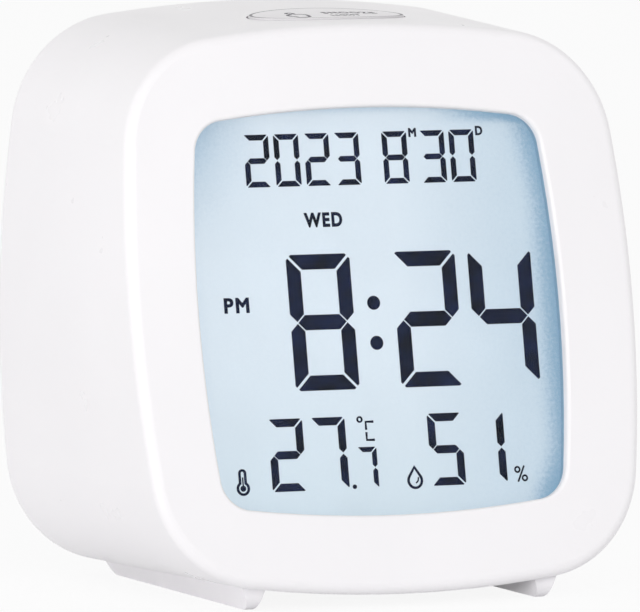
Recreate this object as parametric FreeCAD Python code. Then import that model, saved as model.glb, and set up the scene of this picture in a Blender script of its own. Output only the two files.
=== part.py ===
import FreeCAD, Part
import math
import os

# Thermometer hygrometer clock. Millimetres and degrees, +X right, +Y back, +Z up.
# The pieces are drawn about the centre of the front face, and stand on the floor when they are saved.

os.makedirs("parts", exist_ok=True)

V = FreeCAD.Vector
RIGHT = V(1, 0, 0)
BACK = V(0, 1, 0)
UP = V(0, 0, 1)

# Casing: a tube with bowed sides that widens a little towards the back
face_width = 77.5
face_height = 77.5
face_side_bow = 3.3
face_top_bow = 3.5
face_corner = 16.0
back_width = 80.0
back_height = 80.0
back_side_bow = 3.4
back_top_bow = 3.6
back_corner = 16.5
body_depth = 42.4
face_lean = 12.5
face_dome = 0.65
face_edge_round = 1.5
back_edge_round = 0.9
shell_wall = 2.2
bezel_wall = 2.7
ground_gap = 0.25
overrun = 1.0

# Window and lens
window_width = 55.9
window_height = 56.7
window_side_bow = 1.9
window_top_bow = 1.95
window_corner = 4.8
window_shift = -0.75
window_rise = 0.2
window_edge_round = 0.5
lens_depth = 1.7
lens_margin = 1.3
lens_gap = 0.1

# Display stack, measured inwards from the front face
frame_width = 63.4
frame_height = 62.6
frame_corner = 6.0
aperture_margin = 0.7
glass_depth = 4.0
glass_width = 60.4
glass_height = 59.6
glass_thick = 2.0
ledge_height = 3.2
guide_thick = 2.6
reflector_thick = 0.3
board_thick = 1.2
stack_gap = 0.15
led_channel = 3.0
led_strip_thick = 0.8
led_count = 3
led_length = 3.0
led_height = 1.8
led_thick = 1.2
zebra_length = 52.0
zebra_width = 1.8

# Segments of the display
ink_thick = 0.12
segment_gap = 0.3
chamfer_share = 0.35
date_height = 7.3
date_width = 3.8
date_stroke = 0.78
date_base = 18.1
clock_height = 18.9
clock_width = 9.75
clock_stroke = 2.1
clock_base = -10.3
colon_dot = 1.95
climate_height = 10.05
climate_width = 5.25
climate_stroke = 1.12
climate_base = -24.1
tenth_height = 5.75
tenth_width = 2.93
tenth_stroke = 0.7
point_dot = 0.62
icon_line = 0.35
thermometer_bulb = 1.0
thermometer_stem = 0.6
thermometer_height = 3.7
drop_radius = 1.2
drop_height = 3.3
degree_radius = 0.46
degree_line = 0.24

# Places of the characters across the window, as shares of its half width
year_left_shares = (-0.66, -0.4955, -0.329, -0.1645)
month_left_share = 0.101
day_left_shares = (0.309, 0.473)
clock_left_shares = (-0.4787, 0.1027, 0.5238)
colon_share = -0.0155
temperature_left_shares = (-0.6483, -0.4154)
point_share = -0.199
tenth_left_share = -0.17
degree_share = -0.1445
humidity_left_shares = (0.2275, 0.459)
thermometer_share = -0.8085
drop_share = 0.1355
# Heights of the colon's two dots above the digits' base, as shares of the digits' height
colon_height_shares = (0.63, 0.335)

# Main board and what is on it
main_width = 63.0
main_height = 61.0
main_corner = 5.0
ear_inset = 3.525
ear_depth_share = 0.3
ear_height = 5.4
ear_place = 14.0
post_inset = 5.225
post_width = 4.2
post_rib = 2.0
blob_radius = 7.0
blob_thick = 1.6
crystal_length = 8.0
crystal_width = 3.0
capacitor_width = 5.0
capacitor_height = 5.4
blob_drop = 4.0
crystal_rise = 14.0
crystal_side = 12.0
capacitor_side = 18.0

# Small screws
screw_width = 1.7
screw_head_width = 3.2
screw_head_height = 1.1
screw_length = 5.5
screw_slot = 0.5
screw_slot_depth = 0.5
thread_gap = 0.04
hole_gap = 0.25

# Snooze button
button_width = 24.0
button_depth = 12.6
button_place = 21.3
button_gap = 0.3
button_proud = 0.25
button_cap = 2.0
button_flange = 1.1
flange_thick = 0.9
flange_gap = 0.1
snooze_travel = 0.6
stem_width = 4.6
snooze_board_width = 42.0
snooze_board_depth = 13.0
snooze_post_place = 17.5
plunger_gap = 0.05

# Switches under the keys
switch_side = 6.0
switch_height = 3.5
plunger_width = 3.0
plunger_rise = 1.1
plunger_bed = 1.6

# Rear cover
cover_recess = 0.8
cover_thick = 2.4
cover_gap = 0.15
cover_post_inset = 8.0
cover_post_z = 25.5
cover_post_width = 5.4
cover_post_length = 14.0
cover_screw_width = 2.2
cover_screw_head = 4.2
cover_screw_head_height = 1.4
cover_screw_length = 9.0
counterbore_gap = 0.3

# Keys on the rear cover
key_width = 7.0
key_pitch = 13.0
key_rise = 20.5
key_proud = 0.5
key_gap = 0.25
key_flange = 1.1
key_travel = 0.5
key_edge_round = 0.4
key_stem_width = 4.0
key_board_width = 56.0
key_board_low = 5.0
key_board_high = 27.0
key_post_width = 4.2
key_post_x = 25.3
key_post_low = 8.0
key_post_high = 24.2

# Buzzer, sensor and their openings
buzzer_width = 12.0
buzzer_gap = 0.3
buzzer_port_depth = 1.2
buzzer_x = 15.0
buzzer_z = 6.5
sound_hole = 1.3
sound_ring = 3.4
sound_count = 6
sensor_side = 3.2
sensor_thick = 1.0
sensor_x = -15.0
sensor_z = 8.0
vent_length = 9.0
vent_height = 1.2
vent_pitch = 2.6
vent_count = 4

# Battery bay, door and cells
bay_length = 52.0
bay_height = 23.6
bay_wall = 1.4
bay_place = -16.6
door_ledge_x = 1.1
door_ledge_z = 0.6
door_thick = 2.0
door_gap = 0.25
door_seat_gap = 0.1
hinge_pin_width = 1.2
hinge_pin_length = 1.1
hinge_gap = 0.06
notch_width = 12.0
notch_height = 2.6
notch_depth = 1.4
grip_count = 5
grip_width = 0.8
grip_pitch = 2.2
grip_depth = 0.4
grip_length = 16.0
cell_width = 10.3
cell_length = 43.3
nub_width = 3.8
nub_length = 1.2
cell_pitch = 11.4
cell_gap = 0.3
rib_width = 0.8
rib_height = 3.0
contact_side = 8.6
contact_thick = 0.4
spring_wire = 0.55
spring_base_width = 7.0
spring_tip_width = 4.6
spring_turns = 4

# Foot rails
rail_place = 22.4
rail_foot_width = 1.3
rail_flare_share = 0.36
rail_front = -4.9
rail_back = 40.8
rail_front_round = 2.2
rail_back_round = 3.6
rail_peg_width = 2.4
rail_peg_root = 0.4
rail_peg_rise = 0.8
rail_peg_inset = 9.0
peg_gap = 0.03

# Ribbon between the boards, and the leads of the battery and of the snooze switch
ribbon_width = 9.0
ribbon_thick = 0.6
ribbon_bend = 3.0
ribbon_x = -4.0
ribbon_high = 14.0
ribbon_low = 8.0
ribbon_reach = 7.0
lead_width = 1.2
lead_bend = 3.2
lead_gap = 0.1
lead_pitch = 2.5
battery_lead_out = 6.5
battery_lead_u = -28.0
battery_lead_inset = 2.5
battery_lead_reach = 9.0
battery_lead_high = -2.0
snooze_lead_place = -9.0
snooze_lead_drop = 5.0
snooze_lead_v = 21.0
snooze_lead_reach = 6.0

# Worked out from the sizes above
lean = math.radians(face_lean)
centre_height = ground_gap + max(face_height, back_height) / 2
ear_side = (face_width + (back_width - face_width) * ear_depth_share) / 2
ear_reach = ear_side - ear_inset
post_place = ear_side - post_inset
cover_post_x = back_width / 2 - cover_post_inset
dome_radius = ((face_height / 2) ** 2 + face_dome**2) / (2 * face_dome)
lip = (face_height / 2) * math.tan(lean) + face_edge_round
cover_front = body_depth - cover_recess - cover_thick
cover_back = body_depth - cover_recess
glass_back = glass_depth + glass_thick
guide_back = glass_back + guide_thick
board_front = guide_back + reflector_thick + stack_gap
board_back = board_front + board_thick
key_flange_front = cover_front - flange_gap - flange_thick
plunger_back = key_flange_front - key_travel - plunger_gap
switch_back = plunger_back - plunger_rise
key_board_back = switch_back - switch_height
key_board_front = key_board_back - board_thick
door_front = cover_back - door_thick
bay_back = door_front - door_seat_gap
cell_y = bay_back - cell_gap - cell_width / 2
bay_front = cell_y - cell_width / 2 - bay_wall
door_low = bay_place - bay_height / 2 - door_ledge_z
hinge_y = cover_back - door_thick / 2
hinge_z = door_low + door_gap + door_thick / 2
face_place = FreeCAD.Placement(V(0, 0, 0), FreeCAD.Rotation(RIGHT, 90 - face_lean))


# Small helpers

def cleaned(shape):
    # one plain solid where there is only one
    if len(shape.Solids) == 1:
        return shape.Solids[0]
    return shape


def block(x0, x1, y0, y1, z0, z1):
    return Part.makeBox(x1 - x0, y1 - y0, z1 - z0, V(x0, y0, z0))


def slab(u0, u1, v0, v1, near, far):
    # a box in the leaning frame of the display, from one depth to another
    return block(u0, u1, v0, v1, -far, -near)


def in_face(shape):
    # turns a shape drawn flat, with its front upwards, into the leaning display
    turned = shape.copy()
    turned.Placement = face_place.multiply(turned.Placement)
    return turned


def in_face_rod(u, v, near, far, width):
    return in_face(Part.makeCylinder(width / 2, far - near, V(u, v, -far), UP))


def rod(start, direction, length, width):
    return Part.makeCylinder(width / 2, length, start, direction)


def polygon_prism(points, push):
    wire = Part.makePolygon(points + [points[0]])
    return Part.Face(wire).extrude(push)


def rounded_plate(width, height, corner, near, far):
    plate = slab(-width / 2, width / 2, -height / 2, height / 2, near, far)
    upright = [e for e in plate.Edges if abs(e.tangentAt(e.FirstParameter).z) > 0.5]
    return plate.makeFillet(corner, upright)


def joined(shapes):
    whole = shapes[0]
    for shape in shapes[1:]:
        whole = whole.fuse(shape)
    return whole


def pillow(half_width, half_height, side_bow, top_bow, corner, inset, lift):
    # an outline of four bowed sides and four round corners, drawn inset from its own edge
    side_radius = ((half_height - top_bow) ** 2 + side_bow**2) / (2 * side_bow)
    top_radius = ((half_width - side_bow) ** 2 + top_bow**2) / (2 * top_bow)
    side_x = half_width - side_radius
    top_z = half_height - top_radius
    span = math.hypot(side_x, top_z)
    reach = side_radius - corner
    along = (reach**2 - (top_radius - corner) ** 2 + span**2) / (2 * span)
    across = math.sqrt(reach**2 - along**2)
    corner_x = side_x + (along * -side_x + across * -top_z) / span
    corner_z = (along * top_z + across * -side_x) / span
    low = math.atan2(corner_z, corner_x - side_x)
    high = math.atan2(corner_z - top_z, corner_x)
    half_turn = math.pi
    arcs = (
        (side_x, 0, side_radius, -low, low),
        (corner_x, corner_z, corner, low, high),
        (0, top_z, top_radius, high, half_turn - high),
        (-corner_x, corner_z, corner, half_turn - high, half_turn - low),
        (-side_x, 0, side_radius, half_turn - low, half_turn + low),
        (-corner_x, -corner_z, corner, half_turn + low, half_turn + high),
        (0, -top_z, top_radius, half_turn + high, 2 * half_turn - high),
        (corner_x, -corner_z, corner, 2 * half_turn - high, 2 * half_turn - low),
    )
    edges = []
    for x, z, radius, start, end in arcs:
        size = radius - inset
        turns = (start, (start + end) / 2, end)
        points = [lift(x + size * math.cos(t), z + size * math.sin(t)) for t in turns]
        edges.append(Part.Arc(*points).toShape())
    return Part.Wire(edges)


def tube_outline(y, inset):
    # the casing's section at one distance behind the front face
    share = y / body_depth

    def grown(face_size, back_size):
        return face_size + (back_size - face_size) * share

    return pillow(
        grown(face_width, back_width) / 2,
        grown(face_height, back_height) / 2,
        grown(face_side_bow, back_side_bow),
        grown(face_top_bow, back_top_bow),
        grown(face_corner, back_corner),
        inset,
        lambda x, z: V(x, y, z),
    )


def tube(y0, y1, inset):
    return Part.makeLoft([tube_outline(y0, inset), tube_outline(y1, inset)], True, True)


def window_prism(inset, near, far):
    outline = pillow(
        window_width / 2,
        window_height / 2,
        window_side_bow,
        window_top_bow,
        window_corner,
        inset,
        lambda u, v: V(u + window_shift, v + window_rise, -far),
    )
    return Part.Face(outline).extrude(V(0, 0, far - near))


def oval_prism(width, depth, z0, z1):
    # an upright prism with an elliptic outline, about the snooze button's axis
    outline = Part.Ellipse(V(0, button_place, z0), width / 2, depth / 2).toShape()
    return Part.Face(Part.Wire([outline])).extrude(V(0, 0, z1 - z0))


def edges_near(shape, test):
    # edges whose ends and middle all pass the test
    found = []
    for edge in shape.Edges:
        middle = (edge.FirstParameter + edge.LastParameter) / 2
        points = [v.Point for v in edge.Vertexes] + [edge.valueAt(middle)]
        if all(test(point) for point in points):
            found.append(edge)
    return found


# Casing

def dome():
    centre = face_place.multVec(V(0, 0, -dome_radius))
    return Part.makeSphere(dome_radius, centre)


def on_dome(point):
    centre = face_place.multVec(V(0, 0, -dome_radius))
    return abs(point.distanceToPoint(centre) - dome_radius) < overrun / 100


def casing_block():
    # the casing's outside as a solid block with its front and back edges rounded
    solid = cleaned(tube(-lip, body_depth, 0).common(dome()))
    solid = solid.makeFillet(face_edge_round, edges_near(solid, on_dome))
    rim = edges_near(solid, lambda point: abs(point.y - body_depth) < overrun / 100)
    return solid.makeFillet(back_edge_round, rim)


def front_shell():
    shell = casing_block()
    hollow = tube(-lip, body_depth + overrun, shell_wall)
    hollow = hollow.common(in_face(slab(-back_width, back_width, -back_height, back_height, bezel_wall, back_width)))
    shell = shell.cut(hollow)
    shell = shell.cut(in_face(window_prism(0, -overrun, bezel_wall + overrun)))
    shell = cleaned(shell)
    reach = (window_width / 2) * math.sqrt(2)
    rim = [e for e in edges_near(shell, on_dome) if e.BoundBox.DiagonalLength < 2 * reach]
    shell = shell.makeFillet(window_edge_round, rim)
    shell = shell.cut(in_face(window_prism(-lens_margin, lens_depth, bezel_wall + overrun)))
    shell = shell.cut(oval_prism(button_width, button_depth, 0, back_height))
    posts = [board_post(side, rise) for side in (-1, 1) for rise in (-1, 1)]
    posts += [cover_post(side, rise) for side in (-1, 1) for rise in (-1, 1)]
    posts += [snooze_post(side) for side in (-1, 1)]
    shell = joined([cleaned(shell)] + posts)
    for side in (-1, 1):
        for y in rail_peg_places():
            shell = shell.cut(rail_peg(side, y, rail_peg_width + 2 * peg_gap))
        shell = shell.cut(snooze_pilot(side))
        for rise in (-1, 1):
            shell = shell.cut(board_pilot(side, rise))
            shell = shell.cut(cover_pilot(side, rise))
    return cleaned(shell)


def board_post(side, rise):
    # carries an ear of the main board, and is joined to the side wall by a rib
    near = bezel_wall - overrun
    post = in_face_rod(side * post_place, rise * ear_place, near, board_front, post_width)
    u0, u1 = sorted((side * post_place, side * back_width / 2))
    v = rise * ear_place
    rib = in_face(slab(u0, u1, v - post_rib / 2, v + post_rib / 2, near, board_front))
    return post.fuse(rib).common(tube(-lip, body_depth, shell_wall / 2))


def board_pilot(side, rise):
    far = board_front + overrun
    near = board_back - screw_length - overrun / 2
    return in_face_rod(side * post_place, rise * ear_place, near, far, screw_width + 2 * thread_gap)


def cover_post(side, rise):
    # takes a screw of the rear cover, and is joined to the side wall by a rib
    front = cover_front - cover_post_length
    post = rod(V(side * cover_post_x, front, rise * cover_post_z), BACK, cover_post_length, cover_post_width)
    x0, x1 = sorted((side * cover_post_x, side * back_width / 2))
    z = rise * cover_post_z
    rib = block(x0, x1, front, cover_front, z - post_rib / 2, z + post_rib / 2)
    return post.fuse(rib).common(tube(-lip, body_depth, shell_wall / 2))


def cover_pilot(side, rise):
    length = cover_screw_length
    start = V(side * cover_post_x, cover_front - length, rise * cover_post_z)
    return rod(start, BACK, length + overrun, cover_screw_width + 2 * thread_gap)


def top_inside(x, y):
    # height of the casing's inner top face
    share = y / body_depth
    half = (face_height + (back_height - face_height) * share) / 2
    bow = face_top_bow + (back_top_bow - face_top_bow) * share
    chord = (face_width + (back_width - face_width) * share) / 2 - face_side_bow
    radius = (chord**2 + bow**2) / (2 * bow)
    return half - radius + math.sqrt((radius - shell_wall) ** 2 - x**2)


def snooze_levels():
    # undersides of the button's flange, its plunger's top, the switch's top and the board's two faces
    flange_low = top_inside(0, button_place - button_depth / 2 - button_flange) - flange_gap - flange_thick
    plunger_top = flange_low - snooze_travel
    switch_top = plunger_top - plunger_rise
    board_top = switch_top - switch_height
    return flange_low, plunger_top, switch_top, board_top, board_top - board_thick


def snooze_post(side):
    board_top = snooze_levels()[3]
    top = top_inside(snooze_post_place, button_place) + shell_wall / 2
    return rod(V(side * snooze_post_place, button_place, board_top), UP, top - board_top, post_width)


def snooze_pilot(side):
    board_top = snooze_levels()[3]
    start = V(side * snooze_post_place, button_place, board_top - overrun)
    return rod(start, UP, screw_length - board_thick + 2 * overrun, screw_width + 2 * thread_gap)


# Feet

def belly_z(x, y):
    return -top_inside(x, y) - shell_wall


def rail_peg_places():
    return (rail_front + rail_peg_inset, rail_back - rail_peg_inset)


def rail_peg(side, y, width):
    low = belly_z(rail_place, y) - rail_peg_root
    return rod(V(side * rail_place, y, low), UP, rail_peg_root + shell_wall + rail_peg_rise, width)


def foot_rail(side):
    # a tapered fin with a rounded nose and a sled-like tail
    floor = -centre_height
    roof = max(belly_z(rail_place + rail_foot_width, y) for y in (rail_front, rail_back)) + overrun
    thin = rail_foot_width / 2
    wide = thin + (roof - floor) * rail_flare_share
    middle = side * rail_place
    section = [
        V(middle - thin, rail_front, floor),
        V(middle + thin, rail_front, floor),
        V(middle + wide, rail_front, roof),
        V(middle - wide, rail_front, roof),
    ]
    fin = polygon_prism(section, V(0, rail_back - rail_front, 0))
    nose = rail_front_round
    tail = rail_back_round
    bend = math.sqrt(0.5)
    start = middle - wide
    outline = Part.Wire([
        Part.LineSegment(V(start, rail_front + nose, floor), V(start, rail_back - tail, floor)).toShape(),
        Part.Arc(
            V(start, rail_back - tail, floor),
            V(start, rail_back - tail * (1 - bend), floor + tail * (1 - bend)),
            V(start, rail_back, floor + tail),
        ).toShape(),
        Part.LineSegment(V(start, rail_back, floor + tail), V(start, rail_back, roof)).toShape(),
        Part.LineSegment(V(start, rail_back, roof), V(start, rail_front, roof)).toShape(),
        Part.LineSegment(V(start, rail_front, roof), V(start, rail_front, floor + nose)).toShape(),
        Part.Arc(
            V(start, rail_front, floor + nose),
            V(start, rail_front + nose * (1 - bend), floor + nose * (1 - bend)),
            V(start, rail_front + nose, floor),
        ).toShape(),
    ])
    profile = Part.Face(outline).extrude(V(2 * wide, 0, 0))
    rail = fin.common(profile).cut(tube(-lip, body_depth, 0))
    low = min(rail.Solids, key=lambda solid: solid.BoundBox.ZMin)
    pegs = [rail_peg(side, y, rail_peg_width) for y in rail_peg_places()]
    return cleaned(joined([low] + pegs))


# Window and display

def window_lens():
    return in_face(window_prism(lens_gap - lens_margin, lens_depth, bezel_wall))


def frame_solid(near, far):
    return rounded_plate(frame_width, frame_height, frame_corner, near, far)


def lcd_frame():
    # holds the glass, the light guide and the board against the bezel
    frame = frame_solid(bezel_wall, board_front)
    frame = frame.cut(window_prism(-aperture_margin, bezel_wall - overrun, glass_depth + overrun))
    half_width = glass_width / 2 + stack_gap
    half_height = glass_height / 2 + stack_gap
    pocket = slab(-half_width, half_width, -half_height, half_height, glass_depth, board_front + overrun)
    return cleaned(in_face(frame.cut(pocket)))


def lcd_glass():
    # a front plate with a thinner contact ledge left along the bottom
    half_width = glass_width / 2
    half_height = glass_height / 2
    plate = slab(-half_width, half_width, -half_height, half_height, glass_depth, glass_back)
    ledge = slab(
        -half_width - overrun,
        half_width + overrun,
        -half_height - overrun,
        ledge_height - half_height,
        glass_depth + glass_thick / 2,
        glass_back + overrun,
    )
    return cleaned(in_face(plate.cut(ledge)))


def light_guide():
    half_width = glass_width / 2
    half_height = glass_height / 2
    guide = slab(
        led_channel - half_width, half_width, ledge_height - half_height, half_height, glass_back, guide_back
    )
    return in_face(guide)


def reflector_sheet():
    half_width = glass_width / 2
    half_height = glass_height / 2
    sheet = slab(
        led_channel - half_width,
        half_width,
        ledge_height - half_height,
        half_height,
        guide_back,
        guide_back + reflector_thick,
    )
    return in_face(sheet)


def backlight_strip():
    half_width = glass_width / 2
    reach = (glass_height - 2 * ledge_height) / 2
    strip = slab(-half_width, led_strip_thick - half_width, -reach, reach, glass_back + stack_gap, guide_back)
    return in_face(strip)


def backlight_leds():
    # a row of side lamps against the edge of the light guide
    start = led_strip_thick - glass_width / 2
    reach = glass_height / 2 - ledge_height
    middle = (glass_back + stack_gap + guide_back) / 2
    lamps = []
    for index in range(led_count):
        v = reach * (2 * (index + 0.5) / led_count - 1)
        lamp = slab(
            start, start + led_thick, v - led_length / 2, v + led_length / 2,
            middle - led_height / 2, middle + led_height / 2,
        )
        lamps.append(in_face(lamp))
    return Part.Compound(lamps)


def zebra_strip():
    low = -glass_height / 2 + (ledge_height - zebra_width) / 2
    strip = slab(
        -zebra_length / 2, zebra_length / 2, low, low + zebra_width, glass_depth + glass_thick / 2, board_front
    )
    return in_face(strip)


# Characters on the display

def segment_points(letter, width, height, stroke):
    # corners of one of the seven segments, lettered a to g clockwise from the top with g in the middle
    clip = stroke * chamfer_share
    gap = segment_gap * stroke / clock_stroke * math.sqrt(2) / 2 + segment_gap / 4
    middle = height / 2
    half = stroke / 2
    top = [
        ((clip + gap) / 2, (clip - gap) / 2),
        (clip, 0),
        (width - clip, 0),
        (width - (clip + gap) / 2, (clip - gap) / 2),
        (width - stroke - gap, stroke),
        (stroke + gap, stroke),
    ]
    left = [
        (0, clip),
        ((clip - gap) / 2, (clip + gap) / 2),
        (stroke, stroke + gap),
        (stroke, middle - half - gap / 2),
        (half, middle - gap / 2),
        (0, middle - half - gap / 2),
    ]
    centre = [
        (half + gap / 2, middle),
        (stroke + gap / 2, middle - half),
        (width - stroke - gap / 2, middle - half),
        (width - half - gap / 2, middle),
        (width - stroke - gap / 2, middle + half),
        (stroke + gap / 2, middle + half),
    ]
    across = {
        "a": top,
        "f": left,
        "g": centre,
        "b": [(width - x, y) for x, y in left],
        "d": [(x, height - y) for x, y in top],
        "e": [(x, height - y) for x, y in left],
        "c": [(width - x, height - y) for x, y in left],
    }
    return [(x, height - y) for x, y in across[letter]]


lit_segments = {
    0: "abcdef",
    1: "bc",
    2: "abged",
    3: "abgcd",
    4: "fgbc",
    5: "afgcd",
    7: "abc",
    8: "abcdefg",
}


def digit(number, left, base, width, height, stroke):
    solids = []
    for letter in lit_segments[number]:
        corners = segment_points(letter, width, height, stroke)
        points = [V(left + x, base + y, -glass_depth) for x, y in corners]
        solids.append(polygon_prism(points, V(0, 0, ink_thick)))
    return solids


def dot(u, v, width):
    return Part.makeCylinder(width / 2, ink_thick, V(u, v, -glass_depth), UP)


def ring(u, v, radius, line):
    return dot(u, v, 2 * radius).cut(dot(u, v, 2 * (radius - line)))


def thermometer_outline(u, v, bulb, stem, height):
    # a round bulb with a round-ended stem above it
    top = v + height - bulb - stem
    stick = block(u - stem, u + stem, v, top, -glass_depth, ink_thick - glass_depth)
    return dot(u, v, 2 * bulb).fuse(stick).fuse(dot(u, top, 2 * stem))


def thermometer_icon():
    u = thermometer_share * window_width / 2
    v = climate_base + thermometer_bulb - icon_line
    outer = thermometer_outline(u, v, thermometer_bulb, thermometer_stem, thermometer_height)
    inner = thermometer_outline(
        u, v, thermometer_bulb - icon_line, thermometer_stem - icon_line, thermometer_height - 2 * icon_line
    )
    return [outer.cut(inner), dot(u, v, thermometer_bulb - icon_line / 2)]


def drop_outline(u, v, radius, height):
    # a round foot drawn up to a point
    tip = V(u, v + height - radius, -glass_depth)
    rise = radius**2 / (height - radius)
    side = math.sqrt(radius**2 - rise**2)
    cap = polygon_prism(
        [V(u - side, v + rise, -glass_depth), V(u + side, v + rise, -glass_depth), tip], V(0, 0, ink_thick)
    )
    return dot(u, v, 2 * radius).fuse(cap)


def drop_icon():
    u = drop_share * window_width / 2
    v = climate_base + drop_radius - icon_line
    outer = drop_outline(u, v, drop_radius, drop_height)
    inner = drop_outline(u, v, drop_radius - icon_line, drop_height - 2.4 * icon_line)
    return [outer.cut(inner)]


def lcd_segments():
    half = window_width / 2
    solids = []
    for number, share in zip((2, 0, 2, 3), year_left_shares):
        solids += digit(number, share * half, date_base, date_width, date_height, date_stroke)
    solids += digit(8, month_left_share * half, date_base, date_width, date_height, date_stroke)
    for number, share in zip((3, 0), day_left_shares):
        solids += digit(number, share * half, date_base, date_width, date_height, date_stroke)
    for number, share in zip((8, 2, 4), clock_left_shares):
        solids += digit(number, share * half, clock_base, clock_width, clock_height, clock_stroke)
    for share in colon_height_shares:
        solids.append(dot(colon_share * half, clock_base + share * clock_height, colon_dot))
    for number, share in zip((2, 7), temperature_left_shares):
        solids += digit(number, share * half, climate_base, climate_width, climate_height, climate_stroke)
    solids.append(dot(point_share * half, climate_base + point_dot / 2, point_dot))
    solids += digit(7, tenth_left_share * half, climate_base, tenth_width, tenth_height, tenth_stroke)
    for number, share in zip((5, 1), humidity_left_shares):
        solids += digit(number, share * half, climate_base, climate_width, climate_height, climate_stroke)
    solids.append(ring(degree_share * half, climate_base + climate_height - degree_radius, degree_radius, degree_line))
    solids += thermometer_icon()
    solids += drop_icon()
    return Part.Compound([in_face(cleaned(solid)) for solid in solids])


# Main board

def main_pcb():
    board = rounded_plate(main_width, main_height, main_corner, board_front, board_back)
    for side in (-1, 1):
        for rise in (-1, 1):
            ear = slab(
                min(0, side * ear_reach),
                max(0, side * ear_reach),
                rise * ear_place - ear_height / 2,
                rise * ear_place + ear_height / 2,
                board_front,
                board_back,
            )
            board = board.fuse(ear)
    board = in_face(board.removeSplitter())
    for side in (-1, 1):
        for rise in (-1, 1):
            hole = in_face_rod(
                side * post_place, rise * ear_place, board_front - overrun, board_back + overrun,
                screw_width + 2 * hole_gap,
            )
            board = board.cut(hole)
    return cleaned(board)


def chip_blob():
    # a low dome of black resin over the chip
    radius = (blob_radius**2 + blob_thick**2) / (2 * blob_thick)
    ball = Part.makeSphere(radius, V(0, -blob_drop, radius - blob_thick - board_back))
    keep = slab(-blob_radius, blob_radius, -blob_radius - blob_drop, blob_radius - blob_drop, board_back, back_width)
    return cleaned(in_face(ball.common(keep)))


def crystal():
    can = Part.makeCylinder(
        crystal_width / 2, crystal_length, V(crystal_side, crystal_rise, -board_back - crystal_width / 2), RIGHT
    )
    return in_face(can)


def capacitor():
    return in_face_rod(-capacitor_side, crystal_rise, board_back, board_back + capacitor_height, capacitor_width)


def small_screw(head, direction):
    # a pan-headed screw, placed by the face that its head bears on
    shank = rod(head, direction, screw_length, screw_width)
    cap = rod(head, direction * -1, screw_head_height, screw_head_width)
    across = direction.cross(RIGHT)
    slot = Part.makeBox(2 * screw_head_width, screw_slot, screw_slot_depth + overrun)
    slot.translate(V(-screw_head_width, -screw_slot / 2, screw_head_height - screw_slot_depth))
    frame = FreeCAD.Matrix(
        RIGHT.x, across.x, -direction.x, head.x,
        RIGHT.y, across.y, -direction.y, head.y,
        RIGHT.z, across.z, -direction.z, head.z,
        0, 0, 0, 1,
    )
    slot = slot.transformGeometry(frame)
    return cleaned(shank.fuse(cap).removeSplitter().cut(slot))


def pcb_screws():
    forward = face_place.Rotation.multVec(UP)
    screws = []
    for side in (-1, 1):
        for rise in (-1, 1):
            head = face_place.multVec(V(side * post_place, rise * ear_place, -board_back))
            screws.append(small_screw(head, forward))
    return Part.Compound(screws)


# Snooze button and its switch

def snooze_button():
    # the cap follows the casing's top and stands a hair proud of it
    flange_low, plunger_top = snooze_levels()[:2]
    cap = oval_prism(button_width - 2 * button_gap, button_depth - 2 * button_gap, flange_low, back_height)
    cap = cap.common(tube(-lip, body_depth, -button_proud))
    flange = oval_prism(
        button_width + 2 * button_flange,
        button_depth + 2 * button_flange,
        flange_low,
        flange_low + flange_thick,
    )
    inner = oval_prism(
        button_width - 2 * button_gap - 2 * button_cap,
        button_depth - 2 * button_gap - 2 * button_cap,
        flange_low - overrun,
        flange_low + flange_thick,
    )
    stem = rod(V(0, button_place, plunger_top), UP, flange_low + flange_thick + overrun - plunger_top, stem_width)
    flange = flange.common(tube(-lip, body_depth, shell_wall + flange_gap))
    return cleaned(joined([cap, flange]).cut(inner).fuse(stem))


def snooze_plunger():
    plunger_top, switch_top = snooze_levels()[1:3]
    length = plunger_top - switch_top + plunger_bed - snooze_travel - plunger_gap
    return rod(V(0, button_place, plunger_top - length), UP, length, plunger_width)


def snooze_switch():
    switch_top, board_top = snooze_levels()[2:4]
    half = switch_side / 2
    body = block(-half, half, button_place - half, button_place + half, board_top, switch_top)
    bore = rod(V(0, button_place, switch_top - plunger_bed), UP, plunger_bed + overrun, plunger_width + 2 * plunger_gap)
    return cleaned(body.cut(bore))


def snooze_board():
    board_top, board_low = snooze_levels()[3:]
    half_width = snooze_board_width / 2
    half_depth = snooze_board_depth / 2
    board = block(-half_width, half_width, button_place - half_depth, button_place + half_depth, board_low, board_top)
    for side in (-1, 1):
        start = V(side * snooze_post_place, button_place, board_low - overrun)
        board = board.cut(rod(start, UP, board_thick + 2 * overrun, screw_width + 2 * hole_gap))
    return cleaned(board)


def snooze_board_screws():
    board_low = snooze_levels()[4]
    places = [V(side * snooze_post_place, button_place, board_low) for side in (-1, 1)]
    return Part.Compound([small_screw(place, UP) for place in places])


# Rear cover

def key_places():
    return {
        "mode": -1.5 * key_pitch,
        "set": -0.5 * key_pitch,
        "up": 0.5 * key_pitch,
        "down": 1.5 * key_pitch,
    }


def key_post_places():
    return ((-key_post_x, key_post_low), (key_post_x, key_post_low), (0, key_post_high))


def bay_box(inset, y0, y1):
    # the battery bay's box, grown or shrunk by an inset
    half = bay_length / 2 - inset
    tall = bay_height / 2 - inset
    return block(-half, half, y0, y1, bay_place - tall, bay_place + tall)


def door_opening():
    half = bay_length / 2 + door_ledge_x
    top = bay_place + bay_height / 2 + door_ledge_z
    return block(-half, half, bay_back, cover_back + overrun, door_low, top)


def finger_notch():
    top = bay_place + bay_height / 2 + door_ledge_z
    radius = ((notch_width / 2) ** 2 + notch_height**2) / (2 * notch_height)
    scoop = rod(V(0, cover_back - notch_depth, top + notch_height - radius), BACK, notch_depth + overrun, 2 * radius)
    keep = block(-notch_width, notch_width, cover_back - notch_depth, cover_back + overrun, top - overrun, back_height)
    return scoop.common(keep)


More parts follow.
